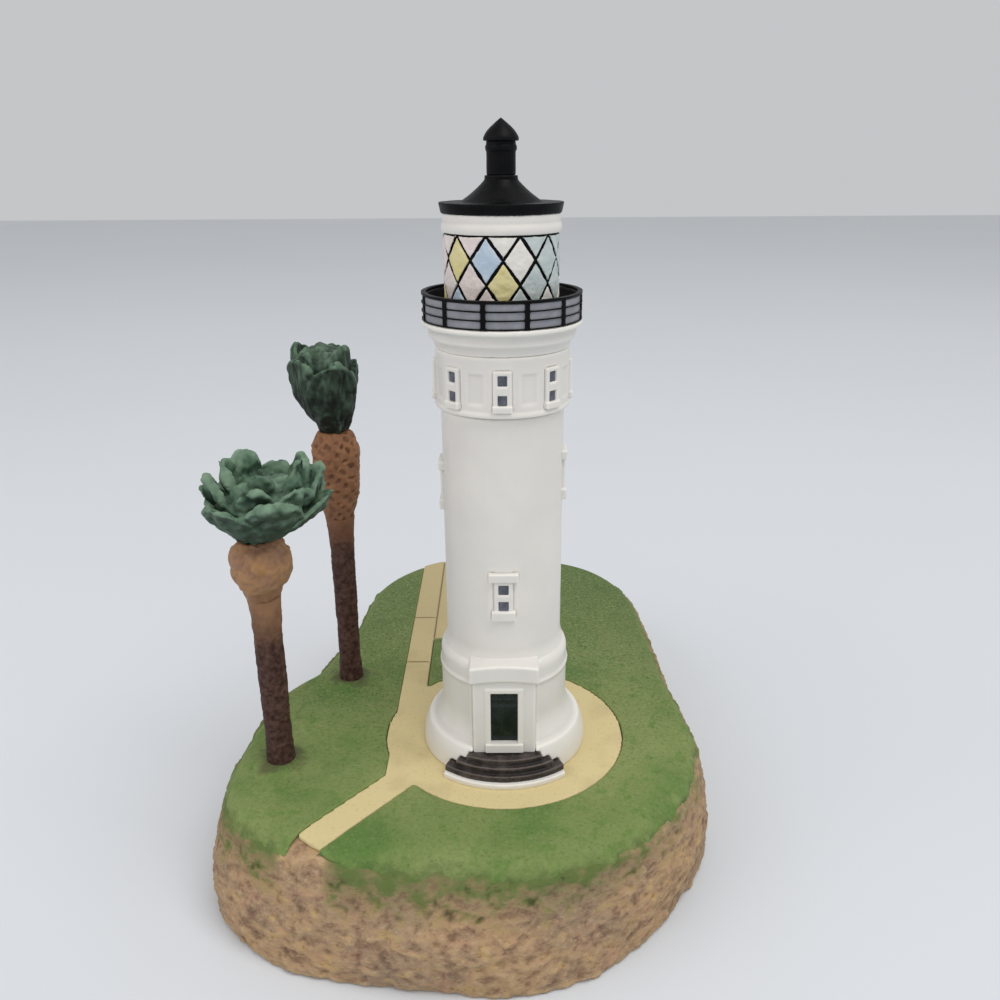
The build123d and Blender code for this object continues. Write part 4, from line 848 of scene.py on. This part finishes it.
# Lawn, with a low mound round the foot of each palm
mound_height = 0.9
mound_width = 2.6
trunk_radius = 3.4
clump_width = 6.0               # clumps of moss only this near to the lawn's edge
clump_back = 30.0               # and less and less of them up to here
lawn_mesh = softened("lawn", 0.55)
shouldered(lawn_mesh, turf_sink)
place = places(lawn_mesh)
for foot in palm_feet.values():
    apart = np.hypot(place[:, 0] - foot.x, place[:, 1] - foot.y) - trunk_radius
    place[:, 2] += mound_height * np.exp(-(apart / mound_width) ** 2) * (place[:, 2] > rock_high.z)
move(lawn_mesh, place)
firm = lawn_mesh.attributes.new("firm", "FLOAT", "POINT")
inside = np.clip(-past_rim(place) / clump_width, 0, 1)
behind = np.clip(place[:, 1] / clump_back, 0, 1)
firm.data.foreach_set("value", np.maximum(inside, behind).astype(np.float32))
finished("lawn_casting", lawn_mesh, "turf", turf_material(palm_feet.values()), "lawn",
         lump=(4.5, 1.2), grain=(1.3, 0.18), keep_flats=0.6, gain=2.4)

# Palm trunks and boots
for palm, paint in (("front_palm", front_bark_paint), ("rear_palm", rear_bark_paint)):
    cast(palm + "_trunk", "bark", paint, voxel=0.35, lump=(2.6, 0.3), grain=(0.9, 0.16), gain=6.0)
boot_overlap = 2.0              # a boot's lower end is drawn down into the trunk by this much
boot_tuck = 0.4                 # and drawn in by this much
overlap_height = 2.0


def overlapping_boot(palm, voxel):
    """A palm's boot with its lower end run into the trunk, and its middle."""
    low, high = box_mm(palm + "_boot")
    mesh = softened(palm + "_boot", voxel)
    centre = (low + high) / 2
    place = places(mesh)
    near = np.clip(1 - (place[:, 2] - low.z) / overlap_height, 0, 1)
    apart = place[:, :2] - np.array(centre.xy)
    place[:, :2] -= apart * (boot_tuck * near / np.maximum(np.hypot(apart[:, 0], apart[:, 1]), 1))[:, None]
    place[:, 2] -= boot_overlap * near
    move(mesh, place)
    return mesh, centre


boot_mesh, _ = overlapping_boot("front_palm", 0.35)
finished("front_palm_boot_casting", boot_mesh, "boot_tan", front_boot_paint, "front_palm_boot",
         swell=-0.2, lump=(4.2, 1.8), grain=(1.2, 0.1), gain=3.0)
boot_mesh, boot_middle = overlapping_boot("rear_palm", 0.3)
boot_draft = draft("rear_palm_boot_draft", boot_mesh)
dress(boot_draft, dimpled_boot, {
    "Middle": boot_middle, "Count": 9, "Pitch": 3.2, "Depth": 0.45, "Stray": 1.6,
    "Material": rear_boot_paint,
})
finished("rear_palm_boot_casting", settle(boot_draft), "boot_tan", rear_boot_paint, "rear_palm_boot",
         swell=-0.1, lump=(3.0, 0.7), grain=(0.9, 0.15), gain=2.4)


# Palm crowns
def turned(name, profile, steps=40):
    """A closed body turned about the upright axis from pairs of radius and height, lowest first."""
    turns = np.linspace(0, math.tau, steps, endpoint=False)
    points = [(r * math.cos(turn), r * math.sin(turn), z) for r, z in profile for turn in turns]
    faces = [list(reversed(range(steps))), [len(points) - steps + side for side in range(steps)]]
    for ring in range(len(profile) - 1):
        for side in range(steps):
            near = ring * steps + side
            far = ring * steps + (side + 1) % steps
            faces.append((near, far, far + steps, near + steps))
    mesh = bpy.data.meshes.new(name)
    mesh.from_pydata(points, [], faces)
    return mesh


leaf_thickness = 1.3
leaf_rows = 26
leaf_columns = 25
leaf_waist = 0.5                # where along its length a leaf is widest
stem_share = 0.5                # share of that width at its foot
least_tip = 0.01                # square of the share of that width at its tip
least_bow = 1.5                 # radius of a leaf's cross section where it leaves the axis
curl_from = 0.75                # where along its length a leaf begins to curl


def leaf_blade(name, neck, reach, height, flare, rise, half_width, cup, curl, ribs, rib_depth):
    """One cupped and ribbed leaf that leaves the crown's foot at its neck and grows towards +X and up. Flare
    over 1 draws its tip in again, a rise over 1 starts it level, and curl turns its tip out."""
    along = np.linspace(0, 1, leaf_rows)[:, None]
    across = np.linspace(-1, 1, leaf_columns)[None, :]
    out = neck + (reach - neck) * np.sin(along * flare * math.pi / 2)
    out = out + curl * np.clip((along - curl_from) / (1 - curl_from), 0, 1) ** 2
    tip = np.sqrt(np.clip(1 - ((along - leaf_waist) / (1 - leaf_waist)) ** 2, least_tip, 1))
    stem = stem_share + (1 - stem_share) * np.sin(along / leaf_waist * math.pi / 2)
    width = half_width * np.where(along > leaf_waist, tip, stem)
    bow = cup * out + least_bow
    turn = across * width / bow
    rib = rib_depth * np.cos(across * math.pi * ribs)
    points = np.stack([
        out - bow * (1 - np.cos(turn)) + rib,
        bow * np.sin(turn),
        height * along ** rise + 0 * across,
    ], axis=2).reshape(-1, 3)
    faces = []
    for row in range(leaf_rows - 1):
        for column in range(leaf_columns - 1):
            corner = row * leaf_columns + column
            faces.append((corner, corner + 1, corner + leaf_columns + 1, corner + leaf_columns))
    mesh = bpy.data.meshes.new(name)
    mesh.from_pydata(points.tolist(), [], faces)
    leaf = draft(name, mesh)
    body = leaf.modifiers.new("thick", "SOLIDIFY")
    body.thickness = leaf_thickness
    body.offset = 0.0
    return leaf


crown_voxel = 0.3
crown_rounds = 4


def leafy_crown(palm, paint, core, whorls, shift, height, lump, stretch):
    """Whorls of leaves round a turned core, grown together, leaned sideways up to a height and stood on the
    palm's boot. A stretch under 1 draws the lumps out into upright folds."""
    node = palm + "_crown"
    obj = draft(node + "_draft", turned(node, core))
    leaves = []
    for blade, sizes in whorls:
        leaves.append(leaf_blade(palm + "_leaf", **blade))
        dress(obj, leaf_whorl, {"Leaf": leaves[-1], "Material": paint, **sizes})
    soften(obj, crown_voxel, crown_rounds)
    mesh = settle(obj)
    for leaf in leaves:
        bpy.data.objects.remove(leaf)
    low, high = box_mm(palm + "_boot")
    place = places(mesh)
    place[:, 0] += shift * np.clip(place[:, 2] / height, 0, 1)
    move(mesh, place + np.array([(low.x + high.x) / 2, (low.y + high.y) / 2, high.z]))
    finished(palm + "_leaves", mesh, "leaf_green", paint, node, lump=lump, grain=(0.9, 0.1), stretch=stretch,
             gain=2.6)


# Wide crown of the front palm: two bowls of leaning leaves round a few steeper ones
front_core = [(4.0, -0.3), (4.2, 1.2), (6.0, 3.4), (8.8, 6.4), (9.8, 8.6), (8.4, 11.0), (5.4, 12.6),
              (0.5, 13.2)]
front_whorls = [
    (dict(neck=2.4, reach=12.6, height=10.8, flare=0.95, rise=0.95, half_width=7.0, cup=0.85, curl=1.0,
          ribs=4, rib_depth=0.14),
     {"Count": 6, "Start": math.radians(-8), "Turn spread": 0.12, "Lean spread": 0.06, "Size spread": 0.05,
      "Seed": 3}),
    (dict(neck=2.4, reach=10.8, height=13.6, flare=1.0, rise=1.0, half_width=5.4, cup=0.85, curl=0.7,
          ribs=3, rib_depth=0.14),
     {"Count": 6, "Start": math.radians(-38), "Turn spread": 0.2, "Lean spread": 0.06, "Size spread": 0.06,
      "Seed": 8}),
    (dict(neck=2.0, reach=6.8, height=17.2, flare=1.15, rise=1.0, half_width=4.6, cup=0.9, curl=0.8,
          ribs=3, rib_depth=0.1),
     {"Count": 5, "Start": math.radians(-20), "Turn spread": 0.3, "Lean spread": 0.08, "Size spread": 0.06,
      "Seed": 4}),
]
leafy_crown("front_palm", front_leaf_paint, front_core, front_whorls,
            shift=2.9, height=9.0, lump=(6.5, 2.4), stretch=1.0)

# Upright crown of the rear palm: leaves that close over its core
rear_core = [(1.7, -0.3), (2.6, 2.5), (4.6, 6.0), (6.0, 10.0), (6.8, 14.0), (6.2, 17.0), (4.4, 19.4),
             (2.0, 20.4), (0.4, 20.6)]
rear_whorls = [
    (dict(neck=1.6, reach=7.3, height=16.6, flare=1.2, rise=1.0, half_width=6.2, cup=0.9, curl=0.8,
          ribs=7, rib_depth=0.2),
     {"Count": 5, "Start": math.radians(-62), "Turn spread": 0.25, "Lean spread": 0.05, "Size spread": 0.07,
      "Seed": 5}),
    (dict(neck=1.2, reach=5.6, height=20.3, flare=1.35, rise=1.0, half_width=5.4, cup=0.9, curl=0.6,
          ribs=6, rib_depth=0.18),
     {"Count": 4, "Start": math.radians(-25), "Turn spread": 0.25, "Lean spread": 0.05, "Size spread": 0.04,
      "Seed": 2}),
]
leafy_crown("rear_palm", rear_leaf_paint, rear_core, rear_whorls,
            shift=-1.5, height=10.0, lump=(3.2, 1.6), stretch=0.3)

# Solids that keep their own mesh
for node, paint in (("felt_pad", felt), ("front_palm_wire", steel), ("rear_palm_wire", steel)):
    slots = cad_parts[node].material_slots
    for number in range(len(slots)):
        slots[number].material = paint
